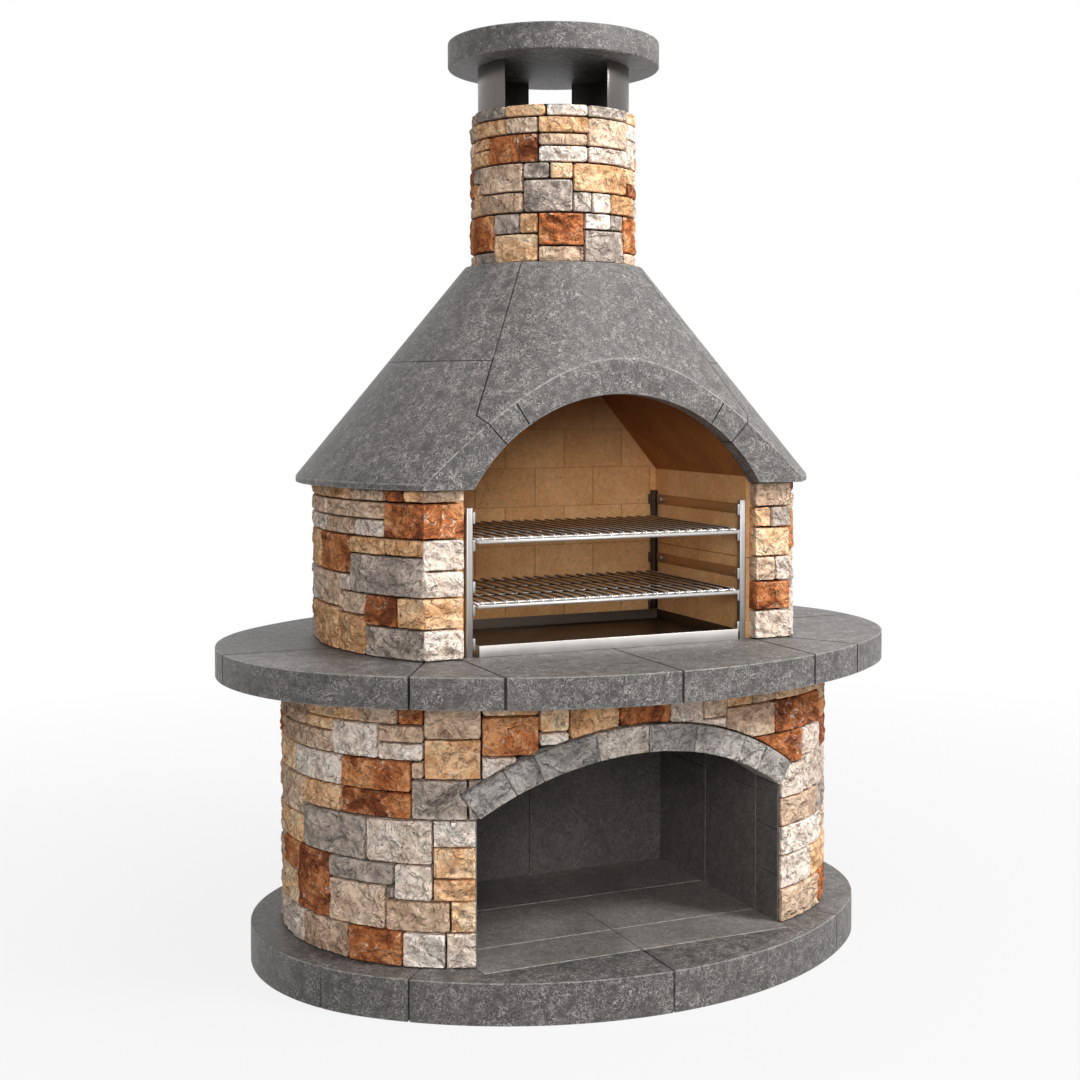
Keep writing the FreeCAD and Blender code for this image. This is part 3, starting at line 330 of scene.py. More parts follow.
@dataclass(frozen=True)
class FlamedSlab:
    """Finish of a flamed grey stone slab with pale flecks, pale arrises that show wear and a painted highlight,
    and painted shade in its joints.
    """

    name: str
    slot: str
    ground: Colour
    shade: Colour
    fleck: Colour
    fleck_share: float
    arris_mark: Colour
    roughness: float
    seam: Colour = (26, 24, 23)
    vein_share: float = 0.35
    wear_and_highlight_share: float = 0.45

    def material(self) -> Material:
        """Build the slab's material.

        Returns:
            Material for slabs.
        """
        kit = Recipe(self.name, self.shade)
        kit.paint(self.ground, kit.span(kit.grain(4.0, 4.0, 0.55, 0.3), 0.36, 0.66))
        for speckle in (kit.grain(62.0, 4.0, 0.65, 1.2), kit.grain(300.0, 3.0, 0.7)):
            kit.shade(speckle, 0.32, 0.68, 0.74, 1.26)
        curls = kit.flecks(74.0, 0.042, kit.grain(26.0, 4.0), 0.34, 0.62)
        threads = kit.flecks(128.0, 0.050, kit.grain(40.0, 4.0), 0.36, 0.64)
        flecks = kit.math("MAXIMUM", curls, threads)
        kit.paint(self.fleck, kit.times(flecks, self.fleck_share))
        veins = kit.flecks(3.0, 0.006, kit.grain(7.0, 3.0), 0.52, 0.66)
        kit.paint(self.fleck, kit.times(veins, self.vein_share))
        # Pale arrises: partly wear, partly a painted highlight along the edges.
        wear_and_highlight = kit.times(kit.span(kit.grain(60.0, 4.0, 0.7), 0.30, 0.62), self.wear_and_highlight_share)
        kit.paint(self.arris_mark, kit.times(kit.attribute("arris_mark"), wear_and_highlight))
        # Painted shade on the bevels in the joints and on the sides of the hood's grooves.
        kit.paint(self.seam, kit.attribute("seam"))
        relief = kit.relief((kit.grain(95.0, 5.0, 0.68, 1.0), 0.0026, 0.7), (flecks, 0.0012, 0.6))
        return kit.surface(Roughness=self.roughness, Normal=relief, Specular_IOR_Level=0.4)


@dataclass(frozen=True)
class FireClay:
    """Finish of fired clay bricks: warm, matt and speckled, each brick a little different, with painted shade
    towards the top and along the joints.
    """

    name: str
    slot: str
    ground: Colour
    shade: Colour
    speck: Colour
    top_shade: Colour = (106, 57, 17)
    top_shade_start: float = 1.06
    top_shade_end: float = 1.42
    top_shade_share: float = 0.85
    top_shade_drift: float = 0.08
    speck_share: float = 0.55
    joint_shade_share: float = 0.60

    def material(self) -> Material:
        """Build the brick's material.

        Returns:
            Material for bricks.
        """
        kit = Recipe(self.name, self.shade)
        kit.paint(self.ground, kit.span(kit.grain(8.0, 4.0, 0.55, 0.3), 0.34, 0.66))
        kit.shade(kit.grain(75.0, 4.0, 0.65, 0.8), 0.32, 0.68, 0.90, 1.10)
        specks = kit.span(kit.grain(210.0, 3.0, 0.6), 0.57, 0.68)
        kit.paint(self.speck, kit.times(specks, self.speck_share))
        kit.shade(kit.attribute("tone"), 0.0, 1.0, 0.95, 1.05)
        # Painted shade: the bricks darken towards the top of the firebox, a little unevenly.
        drift = kit.times(kit.math("SUBTRACT", kit.grain(6.0), 0.5), self.top_shade_drift)
        height = kit.math("ADD", kit.along("Z"), drift)
        kit.paint(self.top_shade, kit.span(height, self.top_shade_start, self.top_shade_end, 0.0, self.top_shade_share))
        # Painted shade on the bricks' arrises, which draws the hairline joints.
        kit.paint(self.speck, kit.times(kit.attribute("arris_mark"), self.joint_shade_share))
        relief = kit.relief((kit.grain(160.0, 5.0, 0.65), 0.0009, 0.5))
        return kit.surface(Roughness=0.86, Normal=relief, Specular_IOR_Level=0.25)


@dataclass(frozen=True)
class Stainless:
    """Finish of stainless steel with a fine brushed grain along one axis."""

    name: str
    tint: Colour
    roughness: float
    grain: Triple
    relief: float
    metallic: float = 1.0
    browned: Colour = (92, 79, 67)
    fade: float = 0.02

    def material(self, darkened_behind: float | None = None) -> Material:
        """Build the steel's material.

        Args:
            darkened_behind: Place along Y behind which the steel is darker.

        Returns:
            Material for steel pieces.
        """
        kit = Recipe(self.name, self.tint)
        if darkened_behind is not None:
            kit.paint(self.browned, kit.span(kit.along("Y"), darkened_behind, darkened_behind + self.fade))
        drawn = kit.add("ShaderNodeMapping", {"Vector": kit.coordinates, "Scale": self.grain}).outputs[0]
        lines, smears = kit.grain(9.0, 4.0, 0.7, 0.0, drawn), kit.grain(11.0, 3.0, 0.6)
        both = kit.math("ADD", kit.times(lines, 0.5), kit.times(smears, 0.5))
        rough = kit.span(both, 0.3, 0.7, self.roughness - 0.06, self.roughness + 0.10)
        relief = kit.relief((lines, 0.0002, self.relief))
        return kit.surface(Metallic=self.metallic, Roughness=rough, Normal=relief)


@dataclass(frozen=True)
class GridBar:
    """Finish of the grids' bars: bright on top and along the front rod, with painted shade on their sides and
    undersides behind it.
    """

    name: str
    bright: Colour
    browned: Colour
    roughness: float
    metallic: float
    unshaded_depth: float = 0.020
    fade: float = 0.010

    def material(self, front: float) -> Material:
        """Build the bars' material.

        Args:
            front: Place of the grid's front edge along Y.

        Returns:
            Material for the grids.
        """
        kit = Recipe(self.name, self.bright)
        normal = kit.add("ShaderNodeNewGeometry").outputs["Normal"]
        # Painted shade: the bars darken where they face sideways and down, except along the front rod.
        below = kit.span(kit.along("Z", normal), 0.05, 0.60, 1.0, 0.0)
        start = front + self.unshaded_depth
        kit.paint(self.browned, kit.times(below, kit.span(kit.along("Y"), start, start + self.fade)))
        return kit.surface(Metallic=self.metallic, Roughness=self.roughness)


@dataclass(frozen=True)
class Mortar:
    """Finish of the rough core that shows between the stones."""

    name: str
    ground: Colour
    shade: Colour

    def material(self) -> Material:
        """Build the core's material.

        Returns:
            Material for mortar.
        """
        kit = Recipe(self.name, self.shade)
        sand = kit.grain(260.0, 4.0, 0.7)
        kit.paint(self.ground, kit.span(sand, 0.35, 0.65))
        return kit.surface(Roughness=0.95, Normal=kit.relief((sand, 0.0015, 0.7)), Specular_IOR_Level=0.15)


class StoneKind(Enum):
    """Colours of the cladding."""

    RUST = SplitFace("stone_rust", (128, 70, 42), (196, 118, 68), (230, 166, 114), (246, 226, 204), 0.70)
    HONEY = SplitFace("stone_honey", (222, 168, 120), (250, 201, 153), (255, 225, 187), (255, 240, 216), 0.30)
    CREAM = SplitFace("stone_cream", (228, 206, 188), (246, 228, 212), (255, 242, 230), (222, 184, 150), 0.30)
    GREY = SplitFace("stone_grey", (158, 144, 134), (190, 175, 163), (218, 201, 186), (230, 202, 174), 0.55)
    TAUPE = SplitFace("stone_taupe", (200, 167, 140), (226, 194, 166), (242, 216, 191), (246, 224, 198), 0.40)
    ARCH_GREY = SplitFace("arch_grey", (136, 131, 127), (171, 165, 159), (198, 191, 184), (206, 198, 189), 0.35)
    ARCH_BEIGE = SplitFace("arch_beige", (176, 160, 146), (206, 190, 177), (226, 212, 200), (234, 220, 204), 0.35)


SLAB = FlamedSlab("flamed_slab", "slab", (88, 85, 83), (75, 73, 71), (184, 180, 176), 0.82, (190, 187, 184), 0.44)
STORE_SLAB = FlamedSlab("sawn_dark_slab", "store_lining", (106, 101, 98), (90, 86, 83), (160, 156, 152), 0.55,
                        (168, 164, 160), 0.46)
# Paler than the store's walls: painted light and sheen on the floor.
STORE_FLOOR = FlamedSlab("honed_floor_tile", "store_lining", (138, 133, 129), (116, 111, 107), (196, 191, 186),
                         0.50, (214, 208, 202), 0.40)
CLAY = FireClay("firebrick", "firebrick", (240, 190, 134), (228, 172, 115), (168, 117, 74))
# Darker copy of the firebrick: painted shade on the smoke chamber's panels.
SHADED_CLAY = FireClay("shaded_firebrick", "firebrick", (178, 116, 60), (158, 100, 50), (120, 78, 42))
STEEL = Stainless("brushed_steel_upright", (176, 174, 171), 0.38, (1.0, 1.0, 14.0), 0.10)
SHEET_STEEL = Stainless("bright_steel_sheet", (206, 202, 198), 0.42, (14.0, 1.0, 1.0), 0.08)
BAR_STEEL = Stainless("drawn_steel_bar", (214, 212, 209), 0.36, (1.0, 1.0, 1.0), 0.0, 0.55)
GRID_STEEL = GridBar("fire_browned_bar", (216, 214, 211), (66, 52, 42), 0.34, 0.60)
# Warm brown tint: a painted reflection of the firebricks.
RAIL_STEEL = Stainless("flat_steel_rail", (190, 146, 102), 0.34, (1.0, 14.0, 1.0), 0.05, 0.60)
ROLLED_STEEL = Stainless("rolled_steel_sheet", (108, 104, 101), 0.34, (1.0, 1.0, 16.0), 0.12)
# Darker steel for the ash tray's inside: painted shade.
SHADED_TRAY_STEEL = Stainless("tray_steel_painted_shade", (66, 55, 46), 0.34, (1.0, 14.0, 1.0), 0.08, 0.70)
CORE = Mortar("dark_mortar", (52, 45, 39), (30, 26, 23))


def copy_node(node: str, flat: bool = True) -> BMesh:
    """Copy a node's mesh with its corners merged.

    Args:
        node: Name of the node.
        flat: Whether triangles that lie in one plane are joined.

    Returns:
        A new mesh to work on.
    """
    mesh = bmesh.new()
    mesh.from_mesh(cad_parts[node].data)
    bmesh.ops.remove_doubles(mesh, verts=mesh.verts, dist=MERGE)
    if flat:
        flatten(mesh)
    return mesh


def flatten(mesh: BMesh, angle: float = 0.5) -> None:
    """Join triangles that lie in one plane, to an angle in degrees."""
    bmesh.ops.dissolve_limit(mesh, angle_limit=math.radians(angle), verts=mesh.verts, edges=mesh.edges)


def pour(mesh: BMesh, target: BMesh) -> None:
    """Add a mesh to another one and free it.

    Args:
        mesh: Mesh to add.
        target: Mesh that takes it in.
    """
    data = bpy.data.meshes.new("poured")
    mesh.to_mesh(data)
    mesh.free()
    target.from_mesh(data)
    bpy.data.meshes.remove(data)


def with_corners(faces: list[BMFace]) -> list:
    """List the vertices and edges of a few faces, and the faces."""
    corners, edges = (v for f in faces for v in f.verts), (e for f in faces for e in f.edges)
    return [*dict.fromkeys(corners), *dict.fromkeys(edges), *faces]


def islands(mesh: BMesh) -> list[list[BMFace]]:
    """Find the separate solids in a mesh.

    Args:
        mesh: Mesh with one or more solids.

    Returns:
        The faces of each solid.
    """
    left, found = set(mesh.faces), []
    for seed in mesh.faces:
        if seed not in left:
            continue
        left.discard(seed)
        island = [seed]
        for face in island:
            for near in (f for e in face.edges for f in e.link_faces if f in left):
                left.discard(near)
                island.append(near)
        found.append(island)
    return found


def part_of(mesh: BMesh, indices: set[int]) -> BMesh:
    """Copy a few faces of a mesh to a mesh of their own.

    Args:
        mesh: Mesh with several solids.
        indices: Numbers of the faces to keep.

    Returns:
        A new mesh.
    """
    part = mesh.copy()
    others = [f for f in part.faces if f.index not in indices]
    bmesh.ops.delete(part, geom=others, context="FACES")
    return part


def soften(mesh: BMesh, width: float, segments: int = 2, angle: float = 28.0, joints: BVHTree | None = None,
           joint_shade: float = 1.0) -> None:
    """Bevel the sharp edges of a mesh: outer ones get the arris mark, those in a joint get painted shade.

    Args:
        mesh: Mesh to bevel.
        width: Width of the bevel in metres.
        segments: Number of facets across it.
        angle: Least angle of an edge that is bevelled, in degrees.
        joints: Neighbouring pieces, which a face in a joint looks at closely.
        joint_shade: How dark the painted shade on the bevel in a joint is, from 0 to 1.
    """
    arris_mark = mesh.faces.layers.float.new("arris_mark")
    seam = mesh.faces.layers.float.new("seam")
    inner = mesh.edges.layers.int.new("inner")
    limit = math.radians(angle)
    sharp = [e for e in mesh.edges if len(e.link_faces) == 2 and e.calc_face_angle(0.0) > limit]
    if joints is not None:
        for edge in sharp:
            edge[inner] = int(any(in_joint(loop, joints) for loop in edge.link_loops))
    bevel(mesh, [e for e in sharp if not e[inner]], width, segments, arris_mark, 1.0)
    # Bevels in a joint get painted shade.
    bevel(mesh, [e for e in mesh.edges if e[inner]], JOINT_BEVEL, 1, seam, joint_shade)


def bevel(mesh: BMesh, edges: list[BMEdge], width: float, segments: int, layer: Any = None,
          value: float = 1.0) -> None:
    """Bevel a few edges and mark the new faces.

    Args:
        mesh: Mesh to bevel.
        edges: Its edges to bevel.
        width: Width of the bevel in metres.
        segments: Number of facets across it.
        layer: Face attribute that marks the bevel, if there is one.
        value: Value of the mark.
    """
    made = bmesh.ops.bevel(mesh, geom=edges, offset=width, offset_type="OFFSET", segments=segments,
                           profile=0.5, affect="EDGES", clamp_overlap=True, loop_slide=layer is not None,
                           material=-1)
    if layer is not None:
        for face in made["faces"]:
            face[layer] = value


def in_joint(loop: BMLoop, neighbours: BVHTree) -> bool:
    """Tell whether a face looks at a neighbouring piece across a narrow joint.

    Args:
        loop: The face's corner at the start of the edge beside which it is tested.
        neighbours: All the pieces.

    Returns:
        True for a face inside a joint.
    """
    normal = loop.face.normal
    first, second = loop.vert.co, loop.link_loop_next.vert.co
    inwards = normal.cross(second - first).normalized()
    start = (first + second) / 2 + inwards * JOINT_INSET + normal * JOINT_LIFT
    return neighbours.ray_cast(start, normal, JOINT_REACH)[0] is not None


def store(name: str, mesh: BMesh, material: Material, slot: str, nodes: list[str], sharp: float = 20.0,
          body: Body = Body.MASONRY) -> bpy.types.Object:
    """Make a finished piece of a mesh.

    Args:
        name: Name of the piece.
        mesh: Its shape, which is freed.
        material: Its finish.
        slot: Not used.
        nodes: Nodes that it stands for.
        sharp: Angle in degrees above which an edge looks sharp.
        body: Body that it rides on.

    Returns:
        The new object.
    """
    data = bpy.data.meshes.new(name)
    mesh.normal_update()
    mesh.to_mesh(data)
    mesh.free()
    data.materials.append(material)
    data.polygons.foreach_set("use_smooth", [True] * len(data.polygons))
    data.set_sharp_from_angle(angle=math.radians(sharp))
    piece = bpy.data.objects.new(name, data)
    bpy.context.scene.collection.objects.link(piece)
    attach(piece, body.value)
    if nodes:
        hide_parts(*nodes)
    LOG.info("%s: %d faces, rides on %s", name, len(data.polygons), body.value)
    return piece


class Facing(Enum):
    """Ways of telling which way a wall's stones look."""

    OVAL = "oval"
    BODY = "body"
    FLUE = "flue"
    ARCH = "arch"


@dataclass
class Cladding:
    """Split stones of one wall: each keeps its outline and gets a broken face with rounded, chipped edges."""

    group: str
    facing: Facing
    kinds: list[StoneKind]
    seed: int
    cell: float = 0.0056
    margin: float = 0.0048
    least_width: float = 0.002
    outer_cut: float = 0.35
    uncut: float = 1e-4
    corner: float = 0.0055
    edge_drop: float = 0.0042
    edge_width: float = 0.0050
    chip: float = 0.0022
    chip_scale: float = 38.0
    scoop: float = 0.030
    scoop_depth: float = 0.0240
    nick: float = 0.013
    nick_depth: float = 0.0075
    swell: float = 0.0060
    swell_scale: float = 11.0
    bend: float = 0.009
    bend_scale: float = 24.0
    deepest: float = 0.6
    crease: float = 26.0
    outward_share: float = 0.35
    arris: float = 0.0030
    flat_cosine: float = 0.9995
    front_cosine: float = 0.75
    run_cosine: float = 0.7
    least_turn: float = 0.9
    side_centre: float = 0.043
    rng: random.Random = field(init=False)

    def __post_init__(self) -> None:
        """Start the wall's own random series and read what its stones stand round."""
        self.rng = random.Random(self.seed)
        low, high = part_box("flue_ring")
        self.flue = (low + high) / 2
        self.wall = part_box("wall_core")[1]

    def build(self) -> None:
        """Dress every stone of the wall, one piece for each kind."""
        noise.seed_set(self.seed)
        for kind in self.kinds:
            self.build_kind(kind.value)

    def build_kind(self, finish: SplitFace) -> None:
        """Dress the stones of one kind.

        Args:
            finish: Finish of the stones.
        """
        node = f"{self.group}_stones_{finish.slot.split('_')[1]}"
        source = copy_node(node, flat=False)
        whole = bmesh.new()
        hollows, owns = [], []
        source.faces.index_update()
        for island in islands(source):
            stone = part_of(source, {face.index for face in island})
            painted_shading = self.split(stone)
            own = [self.rng.random() for _ in range(3)]
            hollows.append(painted_shading)
            owns.append(np.tile(np.array(own, np.float32), (len(painted_shading), 1)))
            pour(stone, whole)
        source.free()
        piece = store(node + "_split", whole, finish.material(), finish.slot, [node], self.crease)
        marks = piece.data.attributes
        # Painted shading and each stone's own numbers, for the finish to read.
        marks.new("painted_shading", "FLOAT", "POINT").data.foreach_set("value", np.concatenate(hollows))
        marks.new("stone", "FLOAT_VECTOR", "POINT").data.foreach_set("vector", np.concatenate(owns).ravel())

    def outward(self, stone: BMesh) -> Vector:
        """Find the way that a stone looks.

        Args:
            stone: The stone's own mesh.

        Returns:
            Direction out of the wall.
        """
        points = [v.co for v in stone.verts]
        centre = sum(points, Vector()) / len(points)
        behind = centre.y - self.flue.y
        if self.facing is Facing.ARCH:
            guess = Vector((0.0, -1.0, 0.0))
        elif self.facing is Facing.FLUE:
            guess = Vector((centre.x, behind, 0.0))
        elif self.facing is Facing.OVAL:
            guess = Vector((centre.x / self.wall.x ** 2, centre.y / self.wall.y ** 2, 0.0))
        else:
            flat = max(stone.faces, key=lambda f: abs(f.normal.y) * (f.normal.y * behind > 0)).normal
            guess = Vector((centre.x - math.copysign(self.side_centre, centre.x), behind, 0.0))
            if abs(flat.y) > self.flat_cosine:
                guess = flat.copy()
        guess.normalize()
        near = [f.normal * f.calc_area() for f in stone.faces if f.normal.dot(guess) > self.front_cosine]
        return sum(near, Vector()).normalized() if near else guess

    def round_corners(self, stone: BMesh, out: Vector) -> None:
        """Round the corners of a stone's outline.

        Args:
            stone: The stone's own mesh.
            out: Direction out of the wall.
        """
        deep = []
        for edge in stone.edges:
            run = edge.verts[1].co - edge.verts[0].co
            runs_in = run.length > MERGE and abs(run.normalized().dot(out)) > self.run_cosine
            if runs_in and edge.calc_face_angle(0.0) > self.least_turn:
                deep.append(edge)
        bevel(stone, deep, self.corner * self.rng.uniform(0.6, 1.4), 3)
        stone.normal_update()

    def slice_front(self, stone: BMesh, geometry: list, along: Vector) -> list:
        """Cut the face of a stone into narrow strips.

        Args:
            stone: The stone's own mesh.
            geometry: Vertices, edges and faces of its front.
            along: Direction across the strips.

        Returns:
            The front's geometry after the cuts.
        """
        spots = [v.co.dot(along) for v in geometry if isinstance(v, BMVert)]
        low, high = min(spots), max(spots)
        inner = max(high - low - 2 * self.margin, self.least_width)
        steps = max(1, round(inner / self.cell))
        cuts = [low + self.margin + inner * k / steps for k in range(steps + 1)]
        cuts += [low + self.margin * self.outer_cut, high - self.margin * self.outer_cut]
        for cut in cuts:
            if low + self.uncut < cut < high - self.uncut:
                geometry = bmesh.ops.bisect_plane(stone, geom=geometry, dist=TINY, plane_co=along * cut,
                                                  plane_no=along)["geom"]
        return geometry

    def split(self, stone: BMesh) -> np.ndarray:
        """Break the face of a stone, round its edges and work out its painted shading.

        Args:
            stone: The stone's own mesh.

        Returns:
            Painted shading of each vertex, from 0 to 1: painted shade in the dips and on the sides in the joints,
            painted light on the ridges and along the arris.
        """
        flatten(stone)
        stone.normal_update()
        out = self.outward(stone)
        self.round_corners(stone, out)
        front = [f for f in stone.faces if f.normal.dot(out) > self.front_cosine]
        geometry = self.slice_front(stone, with_corners(front), UP)
        geometry = self.slice_front(stone, geometry, UP.cross(out).normalized())
        front = [g for g in geometry if isinstance(g, BMFace)]
        stone.normal_update()
        stone.verts.index_update()
        normals: dict[int, Vector] = {}
        for face in front:
            for vertex in face.verts:
                normals[vertex.index] = normals.get(vertex.index, Vector()) + face.normal
        vertices = [v for v in stone.verts if v.index in normals]
        chosen = set(front)
        rim = [e for f in front for e in f.edges if sum(near in chosen for near in e.link_faces) == 1]
        rim_ids = {v.index for e in rim for v in e.verts}
        points = np.array([v.co for v in vertices])
        centre = Vector(points.mean(0))
        start = Vector([self.rng.uniform(-9, 9) for _ in range(3)])
        # Vertices off the face, on the sides in the joints, keep the darkest painted shade.
        painted_shading = np.ones(len(stone.verts), np.float32)
        for vertex, inside in zip(vertices, self.depths(points, rim)):
            normal = normals[vertex.index].normalized()
            rough = self.broken_height(vertex.co + start)
            rough *= 1.0 if rough < 0.0 else self.outward_share
            edge = max(0.0, 1.0 - inside / self.edge_width)
            drop = self.edge_drop * (1.0 - math.sqrt(max(0.0, 1.0 - edge ** 2)))
            lift = rough * min(1.0, 0.35 + inside / (2.4 * self.edge_width)) - drop
            if vertex.index in rim_ids:
                inwards = centre - vertex.co
                inwards -= normal * inwards.dot(normal)
                chip = self.chip * max(0.0, noise.noise((vertex.co + start) * self.chip_scale) + 0.25)
                vertex.co += inwards.normalized() * chip
            vertex.co += normal * lift
            # Painted shading: darker where the broken face sinks, lighter where it rises, with a painted
            # highlight in a band along the arris.
            deep = 0.42 - (lift + drop) / (0.5 * self.scoop_depth + self.swell)
            deep -= 0.65 * math.exp(-((inside - self.arris) / (0.6 * self.arris)) ** 2)
            painted_shading[vertex.index] = min(1.0, max(0.0, deep))
        return painted_shading

    @staticmethod
    def depths(points: np.ndarray, rim: list[BMEdge]) -> np.ndarray:
        """Measure how far points lie inside an outline.

        Args:
            points: Places of the points.
            rim: Edges of the outline.

        Returns:
            Distance of each point to the nearest edge.
        """
        starts = np.array([e.verts[0].co for e in rim])
        runs = np.array([e.verts[1].co - e.verts[0].co for e in rim])
        offset = points[:, None, :] - starts[None]
        share = np.clip((offset * runs).sum(2) / np.maximum((runs * runs).sum(1), 1e-12), 0.0, 1.0)
        return np.linalg.norm(offset - share[:, :, None] * runs, axis=2).min(1)

    @staticmethod
    def scoops(place: Vector) -> float:
        """Shallow bowls that meet in sharp ridges, each with its own level and lean.

        Args:
            place: Point in the pattern, where the bowls are about one unit across.

        Returns:
            Height, about from -0.4 to 0.5.
        """
        away, middles = noise.voronoi(place)
        heights = []
        for distance, middle in zip(away, middles):
            lean = noise.cell_vector(middle * 31.7)
            level = 0.45 * (lean.z - 0.5)
            slope = (place - middle).dot(Vector((lean.x - 0.5, lean.y - 0.5, lean.x - lean.y)))
            heights.append(0.55 * distance * distance + level + 0.8 * slope)
        return min(heights) - 0.05

    def broken_height(self, place: Vector) -> float:
        """Height of a broken face: bowls with sharp ridges, smaller nicks and a broad swell.

        Args:
            place: Point in the pattern.

        Returns:
            Height over the stone's flat face in metres.
        """
        bent = place + noise.noise_vector(place * self.bend_scale) * self.bend
        leaned = Vector((bent.x + bent.z * 0.35, bent.y + bent.z * 0.25, bent.z * 1.3))
        height = self.swell * noise.noise(place * self.swell_scale)
        for size, depth in ((self.scoop, self.scoop_depth), (self.nick, self.nick_depth)):
            height += depth * min(self.deepest, max(-self.deepest, self.scoops(leaned / size)))
        return height


@dataclass
class Slabs:
    """Slabs of the base, worktop, hood and cap, with broken arrises, and the mortar in the hood's joints."""

    edge: float = 0.0022
    base_joint_shade: float = 0.25
    groove_angle: float = 33.5
    groove_width: float = 0.0030
    groove_depth: float = 0.0060
    arch_radius: float = 0.429
    joint: float = 0.0019
    pointing: float = 0.004
    least_joint: float = 0.003
    crown_half: float = 0.02
    front_depth: float = 0.002

    def build(self) -> None:
        """Dress every slab."""
        material = SLAB.material()
        names = [n for n in sorted(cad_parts) if n.startswith(("base_", "worktop_", "hood_"))]
        names += ["hearth_slab", "chimney_cap"]
        together = bmesh.new()
        for node in names:
            together.from_mesh(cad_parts[node].data)
        joints = BVHTree.FromBMesh(together)
        together.free()
        for node in names:
            mesh = copy_node(node)
            shade = self.base_joint_shade if node.startswith("base") else 1.0
            soften(mesh, self.edge, joints=joints, joint_shade=shade)
            if node == "hood_front":
                self.cut_grooves(mesh)
            store(node + "_slab", mesh, material, SLAB.slot, [node])
        self.fill_joints([n for n in names if n.startswith("hood_")], joints)

    def fill_joints(self, names: list[str], joints: BVHTree) -> None:
        """Fill open joints with mortar that lies a little behind the surface.

        Args:
            names: Nodes whose joints are filled.
            joints: All the slabs.
        """
        mortar = bmesh.new()
        for node in names:
            mesh = copy_node(node)
            mesh.normal_update()
            mesh.faces.index_update()
            for side in mesh.faces:
                if side.normal.x < 0.2 or side.calc_area() < self.least_joint:
                    continue
                if any(in_joint(loop, joints) for loop in side.loops):
                    pour(self.plate(part_of(mesh, {side.index}), side.normal), mortar)
            mesh.free()
        store("hood_joint_mortar", mortar, CORE.material(), SLAB.slot, [])

    def plate(self, plate: BMesh, across: Vector) -> BMesh:
        """Make a plate of mortar from one side of a joint.

        Args:
            plate: The joint's side as a mesh of its own.
            across: Direction across the joint.

        Returns:
            The same mesh, set back from its outline and as thick as the joint.
        """
        rim = bmesh.ops.inset_region(plate, faces=plate.faces[:], thickness=self.pointing, use_boundary=True,
                                     use_even_offset=True)["faces"]
        bmesh.ops.delete(plate, geom=rim, context="FACES")
        made = bmesh.ops.extrude_face_region(plate, geom=plate.faces[:])
        moved = [g for g in made["geom"] if isinstance(g, BMVert)]
        bmesh.ops.translate(plate, verts=moved, vec=across * self.joint)
        bmesh.ops.recalc_face_normals(plate, faces=plate.faces[:])
        return plate

    def cut_grooves(self, mesh: BMesh) -> None:
        """Cut a thin radial groove on each side of the arch band, with painted shade on its sides.

        Args:
            mesh: Front piece of the hood.
        """
        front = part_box("hood_front")[0].y
        reach = front + self.front_depth
        crown = min(v.co.z for v in mesh.verts if abs(v.co.x) < self.crown_half and v.co.y < front + 0.001)
        centre = Vector((0.0, front, crown - self.arch_radius))
        for side in (-1.0, 1.0):
            turn = math.radians(side * self.groove_angle)
            across = Vector((math.cos(turn), 0.0, -math.sin(turn)))
            strip = [f for f in mesh.faces if f.normal.y < -0.99 and f.calc_center_median().y < reach]
            for shift in (-0.5, 0.5):
                made = bmesh.ops.bisect_plane(mesh, geom=with_corners(strip), dist=TINY, plane_no=across,
                                              plane_co=centre + across * (shift * self.groove_width))
                strip = [g for g in made["geom"] if isinstance(g, BMFace)]
            half = self.groove_width * 0.51
            middles = [(f, f.calc_center_median() - centre) for f in strip]
            line = [f for f, middle in middles if abs(middle.dot(across)) < half and middle.z > 0.0]
            made = bmesh.ops.extrude_face_region(mesh, geom=line)
            bmesh.ops.delete(mesh, geom=line, context="FACES_ONLY")
            moved = [g for g in made["geom"] if isinstance(g, BMVert)]
            bmesh.ops.translate(mesh, verts=moved, vec=Vector((0.0, self.groove_depth, 0.0)))
            # Painted shade on the groove's sides.
            seam = mesh.faces.layers.float["seam"]
            for face in (f for v in moved for f in v.link_faces):
                face[seam] = 1.0


@dataclass
class WoodStore:
    """Lining and floor of the wood store."""

    edge: float = 0.0014

    def build(self) -> None:
        """Dress the panels, blocks and tiles."""
        walls, floor = STORE_SLAB.material(), STORE_FLOOR.material()
        for node in ("store_back_panels", "store_side_panels", "store_jamb_blocks", "store_floor_tiles"):
            mesh = copy_node(node)
            soften(mesh, self.edge)
            material = floor if node == "store_floor_tiles" else walls
            store(node + "_sawn", mesh, material, STORE_SLAB.slot, [node])


@dataclass
class Firebox:
    """Fire clay lining of the firebox and the smoke chamber."""

    edge: float = 0.0011
    growth: float = 0.00040
    seed: int = 5

    def build(self) -> None:
        """Dress the bricks and panels."""
        rng = random.Random(self.seed)
        plain_clay, shaded_clay = CLAY.material(), SHADED_CLAY.material()
        for node in ("firebox_back_bricks", "firebox_side_bricks", "smoke_chamber_panels"):
            # The smoke chamber's panels take the darker copy, painted shade.
            material = shaded_clay if node == "smoke_chamber_panels" else plain_clay
            mesh = copy_node(node)
            self.lay(mesh, rng)
            soften(mesh, self.edge, 1)
            store(node + "_clay", mesh, material, CLAY.slot, [node])

    def lay(self, mesh: BMesh, rng: random.Random) -> None:
        """Give each brick a tone of its own and let it grow, so that only hairlines are left between them.

        Args:
            mesh: Bricks as separate solids.
            rng: Random series to draw the tones from.
        """
        tone = mesh.faces.layers.float.new("tone")
        for island in islands(mesh):
            value = rng.random()
            for face in island:
                face[tone] = value
            corners = list(dict.fromkeys(v for face in island for v in face.verts))
            centre = sum((v.co for v in corners), Vector()) / len(corners)
            spread = [max(abs(v.co[k] - centre[k]) for v in corners) for k in range(3)]
            thin = spread.index(min(spread))
            for vertex in corners:
                for k in range(3):
                    if k != thin:
                        vertex.co[k] += math.copysign(self.growth, vertex.co[k] - centre[k])


